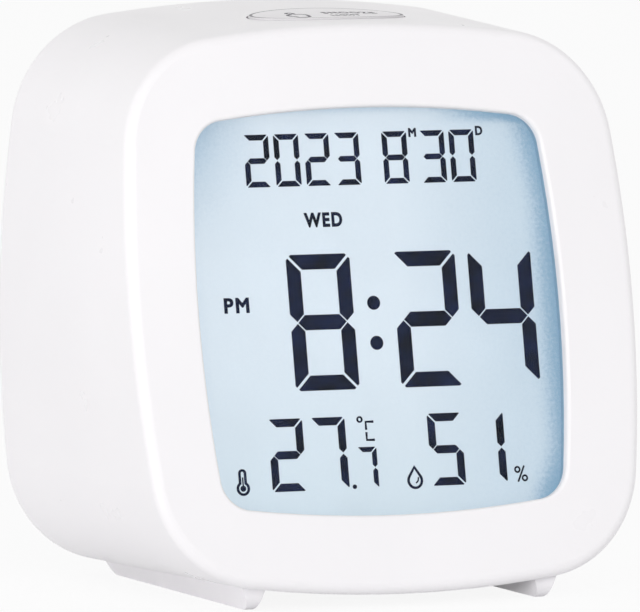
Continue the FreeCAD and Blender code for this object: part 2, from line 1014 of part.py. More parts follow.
def vents():
    slots = []
    for index in range(vent_count):
        z = sensor_z + (index - (vent_count - 1) / 2) * vent_pitch
        half = vent_length / 2 - vent_height / 2
        bar = block(
            sensor_x - half, sensor_x + half, cover_front - overrun, cover_back + overrun,
            z - vent_height / 2, z + vent_height / 2,
        )
        for side in (-1, 1):
            start = V(sensor_x + side * half, cover_front - overrun, z)
            bar = bar.fuse(rod(start, BACK, cover_thick + 2 * overrun, vent_height))
        slots.append(bar)
    return slots


def sound_holes():
    places = [(0, 0)]
    for index in range(sound_count):
        turn = 2 * math.pi * index / sound_count
        places.append((sound_ring * math.cos(turn), sound_ring * math.sin(turn)))
    holes = []
    for x, z in places:
        start = V(buzzer_x + x, cover_front - overrun, buzzer_z + z)
        holes.append(rod(start, BACK, cover_thick + 2 * overrun, sound_hole))
    return holes


def rear_cover():
    plate = tube(cover_front, cover_back, shell_wall + cover_gap)
    bay = bay_box(-bay_wall, bay_front, cover_front + overrun)
    posts = []
    for x, z in key_post_places():
        posts.append(rod(V(x, key_board_back, z), BACK, cover_front - key_board_back + overrun, key_post_width))
    cover = joined([plate, bay] + posts)
    cover = cover.cut(bay_box(0, bay_front + bay_wall, cover_back + overrun))
    cover = cover.cut(door_opening())
    cover = cover.cut(finger_notch())
    half = bay_length / 2
    rib = block(-half, half, bay_front + bay_wall, bay_front + bay_wall + rib_height,
                bay_place - rib_width / 2, bay_place + rib_width / 2)
    cover = cover.fuse(rib)
    for x in key_places().values():
        cover = cover.cut(rod(V(x, cover_front - overrun, key_rise), BACK, cover_thick + 2 * overrun, key_width))
    for hole in vents() + sound_holes():
        cover = cover.cut(hole)
    for side in (-1, 1):
        edge = bay_length / 2 + door_ledge_x
        start = V(side * edge, hinge_y, hinge_z)
        cover = cover.cut(rod(start, RIGHT * side, hinge_pin_length + hinge_gap, hinge_pin_width + 2 * hinge_gap))
        for rise in (-1, 1):
            start = V(side * cover_post_x, cover_front - overrun, rise * cover_post_z)
            cover = cover.cut(rod(start, BACK, cover_thick + 2 * overrun, cover_screw_width + 2 * hole_gap))
            seat = V(side * cover_post_x, cover_back - cover_screw_head_height, rise * cover_post_z)
            width = cover_screw_head + 2 * counterbore_gap
            cover = cover.cut(rod(seat, BACK, cover_screw_head_height + overrun, width))
    for x, z in key_post_places():
        start = V(x, key_board_back - overrun, z)
        cover = cover.cut(rod(start, BACK, screw_length + overrun, screw_width + 2 * thread_gap))
    for z in battery_lead_places():
        start = V(-bay_length / 2 + overrun, cell_y, z)
        cover = cover.cut(rod(start, RIGHT * -1, bay_wall + 2 * overrun, lead_width + 2 * lead_gap))
    return cleaned(cover)


def cover_screws():
    screws = []
    for side in (-1, 1):
        for rise in (-1, 1):
            seat = V(side * cover_post_x, cover_back - cover_screw_head_height, rise * cover_post_z)
            shank = rod(seat, BACK * -1, cover_screw_length, cover_screw_width)
            head = rod(seat, BACK, cover_screw_head_height, cover_screw_head)
            screw = shank.fuse(head).removeSplitter()
            arm = cover_screw_head / 3
            for turned in (False, True):
                long = arm if not turned else screw_slot / 2
                tall = screw_slot / 2 if not turned else arm
                cross = block(
                    seat.x - long, seat.x + long, cover_back - screw_slot_depth, cover_back + overrun,
                    seat.z - tall, seat.z + tall,
                )
                screw = screw.cut(cross)
            screws.append(cleaned(screw))
    return Part.Compound(screws)


# Keys, their switches and the key board

def rear_key(x):
    outer = cover_back + key_proud
    cap = rod(V(x, key_flange_front, key_rise), BACK, outer - key_flange_front, key_width - 2 * key_gap)
    rim = edges_near(cap, lambda point: abs(point.y - outer) < overrun / 100)
    cap = cap.makeFillet(key_edge_round, rim)
    flange = rod(V(x, key_flange_front, key_rise), BACK, flange_thick, key_width + 2 * key_flange)
    stem = rod(V(x, plunger_back, key_rise), BACK, key_flange_front - plunger_back + flange_thick, key_stem_width)
    return cleaned(joined([cap, flange, stem]).removeSplitter())


def key_plunger(x):
    length = plunger_rise + plunger_bed - key_travel - plunger_gap
    return rod(V(x, plunger_back - length, key_rise), BACK, length, plunger_width)


def face_point(u, v, depth):
    return face_place.multVec(V(u, v, -depth))


def bent_path(points, bend):
    # straight runs joined by arcs of one radius
    edges = []
    last = points[0]
    for index in range(1, len(points) - 1):
        corner = points[index]
        back = (points[index - 1] - corner).normalize()
        ahead = (points[index + 1] - corner).normalize()
        half = back.getAngle(ahead) / 2
        reach = bend / math.tan(half)
        middle = (back + ahead).normalize() * (bend / math.sin(half) - bend)
        start = corner + back * reach
        end = corner + ahead * reach
        edges.append(Part.LineSegment(last, start).toShape())
        edges.append(Part.Arc(start, corner + middle, end).toShape())
        last = end
    edges.append(Part.LineSegment(last, points[-1]).toShape())
    return Part.Wire(edges)


def lead(points):
    ahead = (points[1] - points[0]).normalize()
    section = Part.Wire([Part.Circle(points[0], ahead, lead_width / 2).toShape()])
    return bent_path(points, lead_bend).makePipeShell([section], True, False)


def board_ribbon():
    # a flat ribbon from the key board to the back of the main board
    y = key_board_front
    end = face_point(ribbon_x, ribbon_low, board_back)
    points = [
        V(ribbon_x, y, ribbon_high),
        V(ribbon_x, y - ribbon_reach, ribbon_high),
        face_point(ribbon_x, ribbon_low, board_back + ribbon_reach),
        end,
    ]
    low = ribbon_high - ribbon_thick / 2
    high = ribbon_high + ribbon_thick / 2
    left = ribbon_x - ribbon_width / 2
    right = ribbon_x + ribbon_width / 2
    section = Part.makePolygon([V(left, y, low), V(right, y, low), V(right, y, high), V(left, y, high), V(left, y, low)])
    return bent_path(points, ribbon_bend).makePipeShell([section], True, False)


def battery_lead_places():
    reach = cell_pitch / 2 - battery_lead_inset
    return (bay_place + reach, bay_place - reach)


def battery_leads():
    # from the two end contacts, out through the bay's wall and forwards to the main board
    leads = []
    for order, z in enumerate(battery_lead_places()):
        v = battery_lead_high - order * lead_pitch
        start = V(-bay_length / 2, cell_y, z)
        out = V(-bay_length / 2 - battery_lead_out, cell_y, z)
        leads.append(lead([
            start,
            out,
            face_point(battery_lead_u, v, board_back + battery_lead_reach),
            face_point(battery_lead_u, v, board_back),
        ]))
    return Part.Compound(leads)


def snooze_leads():
    # from the snooze board's underside to the top of the main board
    board_low = snooze_levels()[4]
    leads = []
    for order in (0, 1):
        x = snooze_lead_place + order * lead_pitch
        leads.append(lead([
            V(x, button_place, board_low),
            V(x, button_place, board_low - snooze_lead_drop),
            face_point(x, snooze_lead_v, board_back + snooze_lead_reach),
            face_point(x, snooze_lead_v, board_back),
        ]))
    return Part.Compound(leads)


def key_switches():
    half = switch_side / 2
    bodies = []
    for x in key_places().values():
        body = block(x - half, x + half, key_board_back, switch_back, key_rise - half, key_rise + half)
        bore = rod(
            V(x, switch_back - plunger_bed, key_rise), BACK, plunger_bed + overrun, plunger_width + 2 * plunger_gap
        )
        bodies.append(cleaned(body.cut(bore)))
    return Part.Compound(bodies)


def key_board():
    half = key_board_width / 2
    board = block(-half, half, key_board_front, key_board_back, key_board_low, key_board_high)
    for x, z in key_post_places():
        start = V(x, key_board_front - overrun, z)
        board = board.cut(rod(start, BACK, board_thick + 2 * overrun, screw_width + 2 * hole_gap))
    return cleaned(board)


def key_board_screws():
    places = [V(x, key_board_front, z) for x, z in key_post_places()]
    return Part.Compound([small_screw(place, BACK) for place in places])


def buzzer():
    # a round can that stands on the key board with its sound port towards the cover
    top = cover_front - buzzer_gap
    can = rod(V(buzzer_x, key_board_back, buzzer_z), BACK, top - key_board_back, buzzer_width)
    port = rod(V(buzzer_x, top - buzzer_port_depth, buzzer_z), BACK, buzzer_port_depth + overrun, 2 * sound_hole)
    return cleaned(can.cut(port))


def climate_sensor():
    half = sensor_side / 2
    return block(
        sensor_x - half, sensor_x + half, key_board_back, key_board_back + sensor_thick,
        sensor_z - half, sensor_z + half,
    )


# Battery door, cells and contacts

def battery_door():
    half = bay_length / 2 + door_ledge_x - door_gap
    top = bay_place + bay_height / 2 + door_ledge_z - door_gap
    plate = block(-half, half, door_front, cover_back, hinge_z, top)
    roll = rod(V(-half, hinge_y, hinge_z), RIGHT, 2 * half, door_thick)
    length = door_gap + hinge_pin_length
    pins = [rod(V(side * half, hinge_y, hinge_z), RIGHT * side, length, hinge_pin_width) for side in (-1, 1)]
    door = joined([plate, roll] + pins).removeSplitter()
    for index in range(grip_count):
        z = top - (index + 1.5) * grip_pitch
        groove = block(
            -grip_length / 2, grip_length / 2, cover_back - grip_depth, cover_back + overrun,
            z - grip_width / 2, z + grip_width / 2,
        )
        door = door.cut(groove)
    return cleaned(door)


def cell_ends():
    # for each cell: its height, the way its positive end points and where that end lies
    reach = bay_length / 2 - contact_thick
    return ((bay_place + cell_pitch / 2, 1, reach), (bay_place - cell_pitch / 2, -1, -reach))


def battery_cells():
    cells = []
    for z, way, tip in cell_ends():
        nub = rod(V(tip, cell_y, z), RIGHT * -way, nub_length, nub_width)
        can = rod(V(tip - way * nub_length, cell_y, z), RIGHT * -way, cell_length, cell_width)
        cells.append(cleaned(can.fuse(nub).removeSplitter()))
    return Part.Compound(cells)


def contact_plate(z, wall, way):
    # a thin plate against one end wall of the bay
    half = contact_side / 2
    x0 = min(wall, wall + way * contact_thick)
    return block(x0, x0 + contact_thick, cell_y - half, cell_y + half, z - half, z + half)


def battery_plates():
    plates = []
    for z, way, _tip in cell_ends():
        plates.append(contact_plate(z, way * bay_length / 2, -way))
        plates.append(contact_plate(z, -way * bay_length / 2, way))
    return Part.Compound(plates)


def arc_from(start, direction, end):
    # the arc that leaves one point in a given direction and ends at another
    chord = end - start
    half = chord.Length / 2
    ahead = V(chord).normalize()
    aside = direction - ahead * direction.dot(ahead)
    bulge = half * math.tan(direction.getAngle(ahead) / 2)
    middle = (start + end) * 0.5 + aside.normalize() * bulge
    return Part.Arc(start, middle, end).toShape()


def coil_edges(place, ahead_at, turns):
    # pairs of arcs, four to a turn, that follow a rising coil
    edges = []
    steps = 4 * turns
    for index in range(steps):
        p0, p1 = place(index / steps), place((index + 1) / steps)
        t0, t1 = ahead_at(index / steps), ahead_at((index + 1) / steps)
        chord = p1 - p0
        lean_sum = chord.dot(t0 + t1)
        spread = 2 * (1 - t0.dot(t1))
        reach = (math.sqrt(lean_sum**2 + spread * chord.dot(chord)) - lean_sum) / spread
        joint = (p0 + p1 + (t0 - t1) * reach) * 0.5
        edges.append(arc_from(p0, t0, joint))
        edges.append(arc_from(p1, t1 * -1, joint))
    return edges


def battery_spring(z, way, tip):
    # a cone of round wire from the end plate to the cell's flat end
    start = -way * (bay_length / 2 - contact_thick - spring_wire / 2)
    end = tip - way * (nub_length + cell_length + spring_wire / 2)
    wide = (spring_base_width - spring_wire) / 2
    narrow = (spring_tip_width - spring_wire) / 2

    def place(share):
        turn = 2 * math.pi * spring_turns * share
        radius = wide + (narrow - wide) * share
        return V(start + (end - start) * share, cell_y + radius * math.cos(turn), z + radius * math.sin(turn))

    def ahead_at(share):
        turn = 2 * math.pi * spring_turns * share
        radius = wide + (narrow - wide) * share
        sweep = 2 * math.pi * spring_turns
        return V(
            end - start,
            (narrow - wide) * math.cos(turn) - sweep * radius * math.sin(turn),
            (narrow - wide) * math.sin(turn) + sweep * radius * math.cos(turn),
        ).normalize()

    path = Part.Wire(Part.__sortEdges__(coil_edges(place, ahead_at, spring_turns)))
    section = Part.Wire([Part.Circle(place(0), ahead_at(0), spring_wire / 2).toShape()])
    return path.makePipeShell([section], True, False)


def battery_springs():
    return Part.Compound([battery_spring(*end) for end in cell_ends()])


sub_parts = {
    "front_shell": front_shell,
    "left_foot_rail": lambda: foot_rail(-1),
    "right_foot_rail": lambda: foot_rail(1),
    "window_lens": window_lens,
    "lcd_frame": lcd_frame,
    "lcd_glass": lcd_glass,
    "lcd_segments": lcd_segments,
    "light_guide": light_guide,
    "reflector_sheet": reflector_sheet,
    "backlight_strip": backlight_strip,
    "backlight_leds": backlight_leds,
    "zebra_strip": zebra_strip,
    "main_pcb": main_pcb,
    "chip_blob": chip_blob,
    "crystal": crystal,
    "capacitor": capacitor,
    "pcb_screws": pcb_screws,
    "snooze_button": snooze_button,
    "snooze_plunger": snooze_plunger,
    "snooze_switch": snooze_switch,
    "snooze_board": snooze_board,
    "snooze_board_screws": snooze_board_screws,
    "rear_cover": rear_cover,
    "cover_screws": cover_screws,
    "key_switches": key_switches,
    "key_board": key_board,
    "key_board_screws": key_board_screws,
    "buzzer": buzzer,
    "climate_sensor": climate_sensor,
    "battery_door": battery_door,
    "battery_cells": battery_cells,
    "battery_plates": battery_plates,
    "battery_springs": battery_springs,
    "board_ribbon": board_ribbon,
    "battery_leads": battery_leads,
    "snooze_leads": snooze_leads,
}

made = {}
for name, make in sub_parts.items():
    made[name] = make()
for name, x in key_places().items():
    made[name + "_key"] = rear_key(x)
    made[name + "_plunger"] = key_plunger(x)

# The origin is on the floor, under the middle of the casing
casing = made["front_shell"].optimalBoundingBox(False)
shift = V(0, -(casing.YMin + casing.YMax) / 2, centre_height)
print("shift", round(shift.y, 4), round(shift.z, 4))
for name, shape in made.items():
    placed = shape.copy()
    placed.translate(shift)
    placed.exportStep("parts/" + name + ".step")
    print(name, len(placed.Solids), placed.isValid(), round(placed.Volume, 2))
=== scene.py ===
import math

import bmesh
import bpy
from mathutils import Matrix, Vector
from mathutils.bvhtree import BVHTree


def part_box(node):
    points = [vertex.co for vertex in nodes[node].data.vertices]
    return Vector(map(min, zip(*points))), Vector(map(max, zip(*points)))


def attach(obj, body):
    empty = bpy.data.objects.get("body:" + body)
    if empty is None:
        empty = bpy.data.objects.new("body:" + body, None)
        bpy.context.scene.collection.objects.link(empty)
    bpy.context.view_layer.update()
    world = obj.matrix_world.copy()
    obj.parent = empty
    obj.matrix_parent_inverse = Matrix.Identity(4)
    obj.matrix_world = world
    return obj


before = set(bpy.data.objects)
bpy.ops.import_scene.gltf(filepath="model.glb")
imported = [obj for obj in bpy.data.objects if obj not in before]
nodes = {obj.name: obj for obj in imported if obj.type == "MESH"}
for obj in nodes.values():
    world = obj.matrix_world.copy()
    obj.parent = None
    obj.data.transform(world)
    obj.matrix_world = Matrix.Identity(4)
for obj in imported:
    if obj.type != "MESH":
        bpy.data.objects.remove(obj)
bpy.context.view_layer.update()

mm = 0.001
toMm = (1000, 1000, 1000)  # a Mapping scale that turns metres into millimetres
scene = bpy.context.scene
print("stage: frame loaded,", len(nodes), "nodes")

# The front face leans back about its middle, and the display is drawn in its own flat frame
face = {
    "middle": (0.0, -17.4212, 40.25),  # mm
    "lean": 12.5,  # degrees
    "inkFront": 3.88,  # mm behind the face
    "inkBack": 4.0,
}
facePitch = math.radians(90 - face["lean"])


# Colours and nodes

def linear(hexColour):
    parts = [int(hexColour[i:i + 2], 16) / 255 for i in (0, 2, 4)]
    return [c / 12.92 if c <= 0.04045 else ((c + 0.055) / 1.055) ** 2.4 for c in parts] + [1.0]


def addNode(tree, kind, inputs=None, stops=None, **settings):
    # inputs are values, or nodes and sockets to link; stops are a ramp's places and colours
    made = tree.nodes.new("ShaderNode" + kind)
    for name, value in settings.items():
        setattr(made, name, value)
    for index, (place, colour) in enumerate(stops or []):
        elements = made.color_ramp.elements
        element = elements[index] if index < 2 else elements.new(place)
        element.position = place
        element.color = colour
    for name, value in (inputs or {}).items():
        named = [socket for socket in made.inputs if socket.name == name and socket.enabled]
        socket = named[0] if named else made.inputs[name]
        if isinstance(value, bpy.types.Node):
            value = [output for output in value.outputs if output.enabled][0]
        if isinstance(value, bpy.types.NodeSocket):
            tree.links.new(value, socket)
        else:
            socket.default_value = value
    return made


def newMaterial(name):
    material = bpy.data.materials.new(name)
    material.use_nodes = True
    material.node_tree.nodes.clear()
    return material, material.node_tree


finishes = {}
noiseSpan = (0.3, 0.7)  # between these a noise pattern does most of its changing

# Moulded plastics. Each starts from the resin's plain colour: a faint flow tint runs through it,
# the tool's texture breaks the gleam, and handling leaves soft patches in the gloss. Sizes are in mm.
# A real tool's grain is near 0.1 mm, and on the larger parts it is drawn two or three times as coarse,
# so that it shows.
plastics = {
    # injection moulded ABS with a polished tool: a soft broad gleam
    "glossyWhiteAbs": {
        "colour": "F7F5F7", "shade": "F3F1F3", "flowSize": 38,
        "roughness": (0.27, 0.37), "smudgeSize": 9, "grainSize": 0.35, "grainDepth": 0.004, "ior": 1.53,
    },
    # the same resin from a spark-eroded tool: a fine even orange peel and no clear reflection
    "sparkTexturedWhiteAbs": {
        "colour": "F2F0F1", "shade": "ECEAEC", "flowSize": 24,
        "roughness": (0.46, 0.6), "smudgeSize": 5, "grainSize": 0.22, "grainDepth": 0.02, "ior": 1.53,
    },
    # ABS caps from a fine matt tool: an even satin sheen
    "satinWhiteButton": {
        "colour": "F4F2F4", "shade": "EFEDEF", "flowSize": 14,
        "roughness": (0.38, 0.5), "smudgeSize": 4, "grainSize": 0.25, "grainDepth": 0.008, "ior": 1.5,
    },
    # the big button's edge sits in a narrow gap; a thin dark ring of painted shade is drawn round its top
    # for the gap's shade, and the wall below the ring gets a paler painted shade
    "satinSnoozeButton": {
        "colour": "F4F2F4", "shade": "EFEDEF", "flowSize": 14,
        "rim": "4C4B50", "half": (12.285, 6.3),  # the button's half length and half width in mm
        "rimStops": ((0.9, 0.0), (0.912, 0.9), (0.938, 0.9), (0.945, 0.13)),  # share of that, and how dark
        "roughness": (0.38, 0.5), "smudgeSize": 4, "grainSize": 0.25, "grainDepth": 0.008, "ior": 1.5,
    },
    # softer polypropylene skids, a little greyer and scuffed underneath
    "satinWhiteRail": {
        "colour": "F8F6F8", "shade": "F1EFF2", "flowSize": 12,
        "roughness": (0.42, 0.58), "smudgeSize": 3, "grainSize": 0.25, "grainDepth": 0.01, "ior": 1.49,
    },
    # glass filled nylon: a dull black with a slightly rough skin
    "blackSwitchNylon": {
        "colour": "1E1E21", "shade": "141416", "flowSize": 3,
        "roughness": (0.45, 0.65), "smudgeSize": 1.2, "grainSize": 0.12, "grainDepth": 0.006, "ior": 1.52,
    },
    # acetal is slippery and a little waxy: a tight highlight on soft black
    "blackAcetalPlunger": {
        "colour": "222226", "shade": "17171A", "flowSize": 2,
        "roughness": (0.22, 0.38), "smudgeSize": 0.8, "grainSize": 0.1, "grainDepth": 0.003, "ior": 1.48,
    },
    # moulded black resin: half gloss, with the tool's fine skin
    "blackBuzzerCase": {
        "colour": "1A1A1C", "shade": "101012", "flowSize": 4,
        "roughness": (0.32, 0.52), "smudgeSize": 1.5, "grainSize": 0.12, "grainDepth": 0.006, "ior": 1.52,
    },
    # poured epoxy over the chip: glossy, with slow ripples
    "pouredBlackEpoxy": {
        "colour": "111113", "shade": "08080A", "flowSize": 2.5,
        "roughness": (0.12, 0.3), "smudgeSize": 1.4, "grainSize": 1.2, "grainDepth": 0.06, "ior": 1.55,
    },
    # pressed epoxy with mineral filler: flat dark grey
    "sensorPackageEpoxy": {
        "colour": "28282C", "shade": "1C1C20", "flowSize": 1,
        "roughness": (0.42, 0.55), "smudgeSize": 0.5, "grainSize": 0.08, "grainDepth": 0.004, "ior": 1.5,
    },
    # silicone with phosphor in it: creamy and smooth
    "whiteLampSilicone": {
        "colour": "F4EFD6", "shade": "E8DFB8", "flowSize": 1,
        "roughness": (0.22, 0.38), "smudgeSize": 0.6, "grainSize": 0.1, "grainDepth": 0.003, "ior": 1.45,
    },
    # foamed polyester film: matt and very white
    "whiteReflectorFilm": {
        "colour": "F7F8FA", "shade": "EFF1F4", "flowSize": 9,
        "roughness": (0.5, 0.68), "smudgeSize": 3, "grainSize": 0.3, "grainDepth": 0.004, "ior": 1.5,
    },
    # extruded vinyl: a soft gleam along the lead
    "redLeadVinyl": {
        "colour": "B4241F", "shade": "99201B", "flowSize": 4,
        "roughness": (0.32, 0.48), "smudgeSize": 1, "grainSize": 0.3, "grainDepth": 0.01, "ior": 1.52,
    },
}


def mouldedPlastic(name, look):
    material, tree = newMaterial(name)
    where = addNode(tree, "TexCoord")
    here = addNode(tree, "Mapping", {"Vector": where.outputs["Object"], "Scale": toMm})
    flow = addNode(tree, "TexNoise", {"Vector": here, "Scale": 1 / look["flowSize"], "Detail": 2.0})
    calm, strong = noiseSpan
    tint = addNode(tree, "ValToRGB", {"Fac": flow}, [
        (calm, linear(look["shade"])), (strong, linear(look["colour"])),
    ])
    # painted shade: by distance from the button's middle, the top's edge gets a dark ring and the wall a
    # paler one
    if "rim" in look:
        middle = [(a + b) / 2 for a, b in zip(*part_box("snooze_plunger"))]
        wide, deep = look["half"]
        oval = addNode(tree, "Mapping", {
            "Vector": where.outputs["Object"], "Location": middle, "Scale": (wide * mm, deep * mm, 1),
        }, vector_type="TEXTURE")
        flat = addNode(tree, "VectorMath", {0: oval, 1: (1, 1, 0)}, operation="MULTIPLY")
        reach = addNode(tree, "VectorMath", {0: flat}, operation="LENGTH")
        stops = [(place, (level, level, level, 1)) for place, level in look["rimStops"]]
        edge = addNode(tree, "ValToRGB", {"Fac": reach}, stops)
        tint = addNode(tree, "Mix", {"Factor": edge, "A": tint, "B": linear(look["rim"])}, data_type="RGBA")
    smudge = addNode(tree, "TexNoise", {"Vector": here, "Scale": 1 / look["smudgeSize"], "Detail": 4.0})
    dull, keen = look["roughness"]
    gloss = addNode(tree, "MapRange", {
        "Value": smudge, "From Min": calm, "From Max": strong, "To Min": dull, "To Max": keen,
    })
    grain = addNode(tree, "TexNoise", {"Vector": here, "Scale": 1 / look["grainSize"], "Detail": 2.0})
    skin = addNode(tree, "Bump", {"Height": grain, "Distance": look["grainDepth"] * mm, "Strength": 1.0})
    shader = addNode(tree, "BsdfPrincipled", {
        "Base Color": tint, "Roughness": gloss, "Normal": skin, "IOR": look["ior"], "Specular IOR Level": 0.4,
    })
    addNode(tree, "OutputMaterial", {"Surface": shader})
    return material


for name, look in plastics.items():
    finishes[name] = mouldedPlastic(name, look)
print("stage: plastics made")


# The lit liquid crystal glass: pale blue, lower and to the right a little deeper, with a mottled band of
# painted shade along the window's right edge, where the light guide ends behind it, and softer painted shade
# along the top and left edges and in the corners
glow = {
    "colour": "E2ECF5", "low": "D8E5EE", "right": "CEDDE9", "band": "92B3CC",
    # each pair is where a change starts and ends, in mm to the right of the face's middle or above it
    "lowAt": (-4, -27), "rightAt": (4, 22),
    "bandAt": (23.1, 28.3),
    "wideHighAt": (15, 25), "wideHigh": 1.8,  # how far the band widens in the two right corners
    "wideLowAt": (-19, -26), "wideLow": 2.5,
    "topAt": (27.6, 29.2), "topDepth": 0.6, "join": 0.25,
    "topRightAt": (25.9, 27.3), "topRightFrom": (10, 22),
    "bottomAt": (-22, -29), "bottomDepth": 0.5,
    "cornerAcross": (-14, -27.5), "cornerUp": (8, 27), "cornerDepth": 0.7,  # the upper left corner
    "leftAt": (-25.8, -27.8), "leftDepth": 0.16,
    "speckSize": 0.5, "speckDepth": 0.9, "speckAt": (8, 22), "speckLeast": 0.3,
    "fade": ((0.0, 0.0), (0.2, 0.1), (0.4, 0.32), (0.6, 0.68), (0.8, 0.9), (1.0, 1.0)),
    "cloudSize": 12.5, "cloudDepth": 0.04, "filmSize": 2.5,
    # light is the backlight's glow, set strong enough to be partly painted light: it stands in for the room
    # light that the clear window keeps off the glass
    "light": 0.69, "reflects": 0.3, "roughness": (0.1, 0.22),
}


def litGlass(name, look):
    material, tree = newMaterial(name)
    where = addNode(tree, "TexCoord")
    here = addNode(tree, "Mapping", {
        "Vector": where.outputs["Object"], "Location": [c * mm for c in face["middle"]],
        "Rotation": (facePitch, 0, 0), "Scale": (mm, mm, mm),
    }, vector_type="TEXTURE")
    split = addNode(tree, "SeparateXYZ", {"Vector": here})
    right, up = split.outputs["X"], split.outputs["Y"]
    start, end = look["lowAt"]
    down = addNode(tree, "MapRange", {"Value": up, "From Min": start, "From Max": end})
    body = addNode(tree, "Mix", {
        "Factor": down, "A": linear(look["colour"]), "B": linear(look["low"]),
    }, data_type="RGBA")
    start, end = look["rightAt"]
    across = addNode(tree, "MapRange", {"Value": right, "From Min": start, "From Max": end})
    body = addNode(tree, "Mix", {"Factor": across, "A": body, "B": linear(look["right"])}, data_type="RGBA")

    # the painted shade: the band on the right, and the edges and corners that join it
    start, end = look["wideHighAt"]
    high = addNode(tree, "MapRange", {
        "Value": up, "From Min": start, "From Max": end, "To Max": look["wideHigh"],
    })
    start, end = look["wideLowAt"]
    low = addNode(tree, "MapRange", {
        "Value": up, "From Min": start, "From Max": end, "To Max": look["wideLow"],
    })
    widened = addNode(tree, "Math", {0: right, 1: high}, operation="ADD")
    widened = addNode(tree, "Math", {0: widened, 1: low}, operation="ADD")
    start, end = look["bandAt"]
    aside = addNode(tree, "MapRange", {"Value": widened, "From Min": start, "From Max": end})
    start, end = look["topAt"]
    above = addNode(tree, "MapRange", {
        "Value": up, "From Min": start, "From Max": end, "To Max": look["topDepth"],
    })
    sides = addNode(tree, "Math", {0: aside, 1: above, 2: look["join"]}, operation="SMOOTH_MAX")
    start, end = look["bottomAt"]
    below = addNode(tree, "MapRange", {
        "Value": up, "From Min": start, "From Max": end, "To Max": look["bottomDepth"],
    })
    corner = addNode(tree, "Math", {0: aside, 1: below}, operation="MULTIPLY")
    edge = addNode(tree, "Math", {0: sides, 1: corner}, operation="ADD")
    start, end = look["cornerAcross"]
    leftwards = addNode(tree, "MapRange", {
        "Value": right, "From Min": start, "From Max": end, "To Max": look["cornerDepth"],
    })
    start, end = look["cornerUp"]
    upwards = addNode(tree, "MapRange", {"Value": up, "From Min": start, "From Max": end})
    farCorner = addNode(tree, "Math", {0: leftwards, 1: upwards}, operation="MULTIPLY")
    edge = addNode(tree, "Math", {0: edge, 1: farCorner}, operation="ADD")
    start, end = look["leftAt"]
    leftEdge = addNode(tree, "MapRange", {
        "Value": right, "From Min": start, "From Max": end, "To Max": look["leftDepth"],
    })
    edge = addNode(tree, "Math", {0: edge, 1: leftEdge}, operation="ADD")
    start, end = look["topRightAt"]
    topRight = addNode(tree, "MapRange", {"Value": up, "From Min": start, "From Max": end})
    start, end = look["topRightFrom"]
    nearRight = addNode(tree, "MapRange", {"Value": right, "From Min": start, "From Max": end})
    edge = addNode(tree, "Math", {0: topRight, 1: nearRight, 2: edge}, operation="MULTIPLY_ADD")

    # specks stir the band's edge, most of all on the right
    depth = look["speckDepth"]
    speck = addNode(tree, "TexNoise", {
        "Vector": here, "Scale": 1 / look["speckSize"], "Detail": 4.0, "Roughness": 0.7,
    })
    stir = addNode(tree, "Math", {0: speck, 1: depth, 2: -depth / 2}, operation="MULTIPLY_ADD")
    start, end = look["speckAt"]
    stirred = addNode(tree, "MapRange", {
        "Value": right, "From Min": start, "From Max": end, "To Min": look["speckLeast"],
    })
    stir = addNode(tree, "Math", {0: stir, 1: stirred}, operation="MULTIPLY")
    mottled = addNode(tree, "Math", {0: edge, 1: stir}, operation="ADD")
    # how far each place takes the painted shade colour
    stops = [(place, (level, level, level, 1)) for place, level in look["fade"]]
    dark = addNode(tree, "ValToRGB", {"Fac": mottled}, stops)
    colour = addNode(tree, "Mix", {"Factor": dark, "A": body, "B": linear(look["band"])}, data_type="RGBA")
    cloud = addNode(tree, "TexNoise", {"Vector": here, "Scale": 1 / look["cloudSize"], "Detail": 2.0})
    unevenness = addNode(tree, "MapRange", {
        "Value": cloud, "To Min": 1 - look["cloudDepth"], "To Max": 1 + look["cloudDepth"],
    })
    colour = addNode(tree, "Mix", {
        "Factor": 1.0, "A": colour, "B": unevenness,
    }, data_type="RGBA", blend_type="MULTIPLY")
    weak = [look["reflects"]] * 3 + [1.0]
    own = addNode(tree, "Mix", {
        "Factor": 1.0, "A": colour, "B": weak,
    }, data_type="RGBA", blend_type="MULTIPLY")
    film = addNode(tree, "TexNoise", {"Vector": here, "Scale": 1 / look["filmSize"], "Detail": 3.0})
    smooth, rough = look["roughness"]
    gloss = addNode(tree, "MapRange", {"Value": film, "To Min": smooth, "To Max": rough})
    shader = addNode(tree, "BsdfPrincipled", {
        "Base Color": own, "Roughness": gloss, "Emission Color": colour, "Emission Strength": look["light"],
        "Specular IOR Level": 0.1, "IOR": 1.5,
    })
    addNode(tree, "OutputMaterial", {"Surface": shader})
    return material


finishes["litLiquidCrystal"] = litGlass("litLiquidCrystal", glow)
# the frame round the glass is pale blue plastic that glows as painted light, with the same painted shade,
# standing in for the backlight it catches
wall = {
    **glow, "colour": "C4D9E8", "low": "B8D0E1", "right": "A9C6DB",
    "light": 0.4, "reflects": 0.5, "roughness": (0.35, 0.5),
}
finishes["backlitBlueFrame"] = litGlass("backlitBlueFrame", wall)


# Inks: the liquid crystal's navy shadow, and the grey pad print on the casing, both slightly cloudy
inking = {"cloudSpan": (0.35, 0.75), "grainSize": 0.2}
inks = {
    "liquidCrystalInk": {
        "colour": "0C1220", "cloud": "1C2646", "cloudSize": 3.0, "roughness": (0.4, 0.55), "grain": 0.002,
    },
    "greyPadPrint": {
        "colour": "6F6D73", "cloud": "8A888D", "cloudSize": 1.2, "roughness": (0.45, 0.6), "grain": 0.004,
    },
    "darkPadPrint": {
        "colour": "525156", "cloud": "6A696E", "cloudSize": 1.2, "roughness": (0.45, 0.6), "grain": 0.004,
    },
}


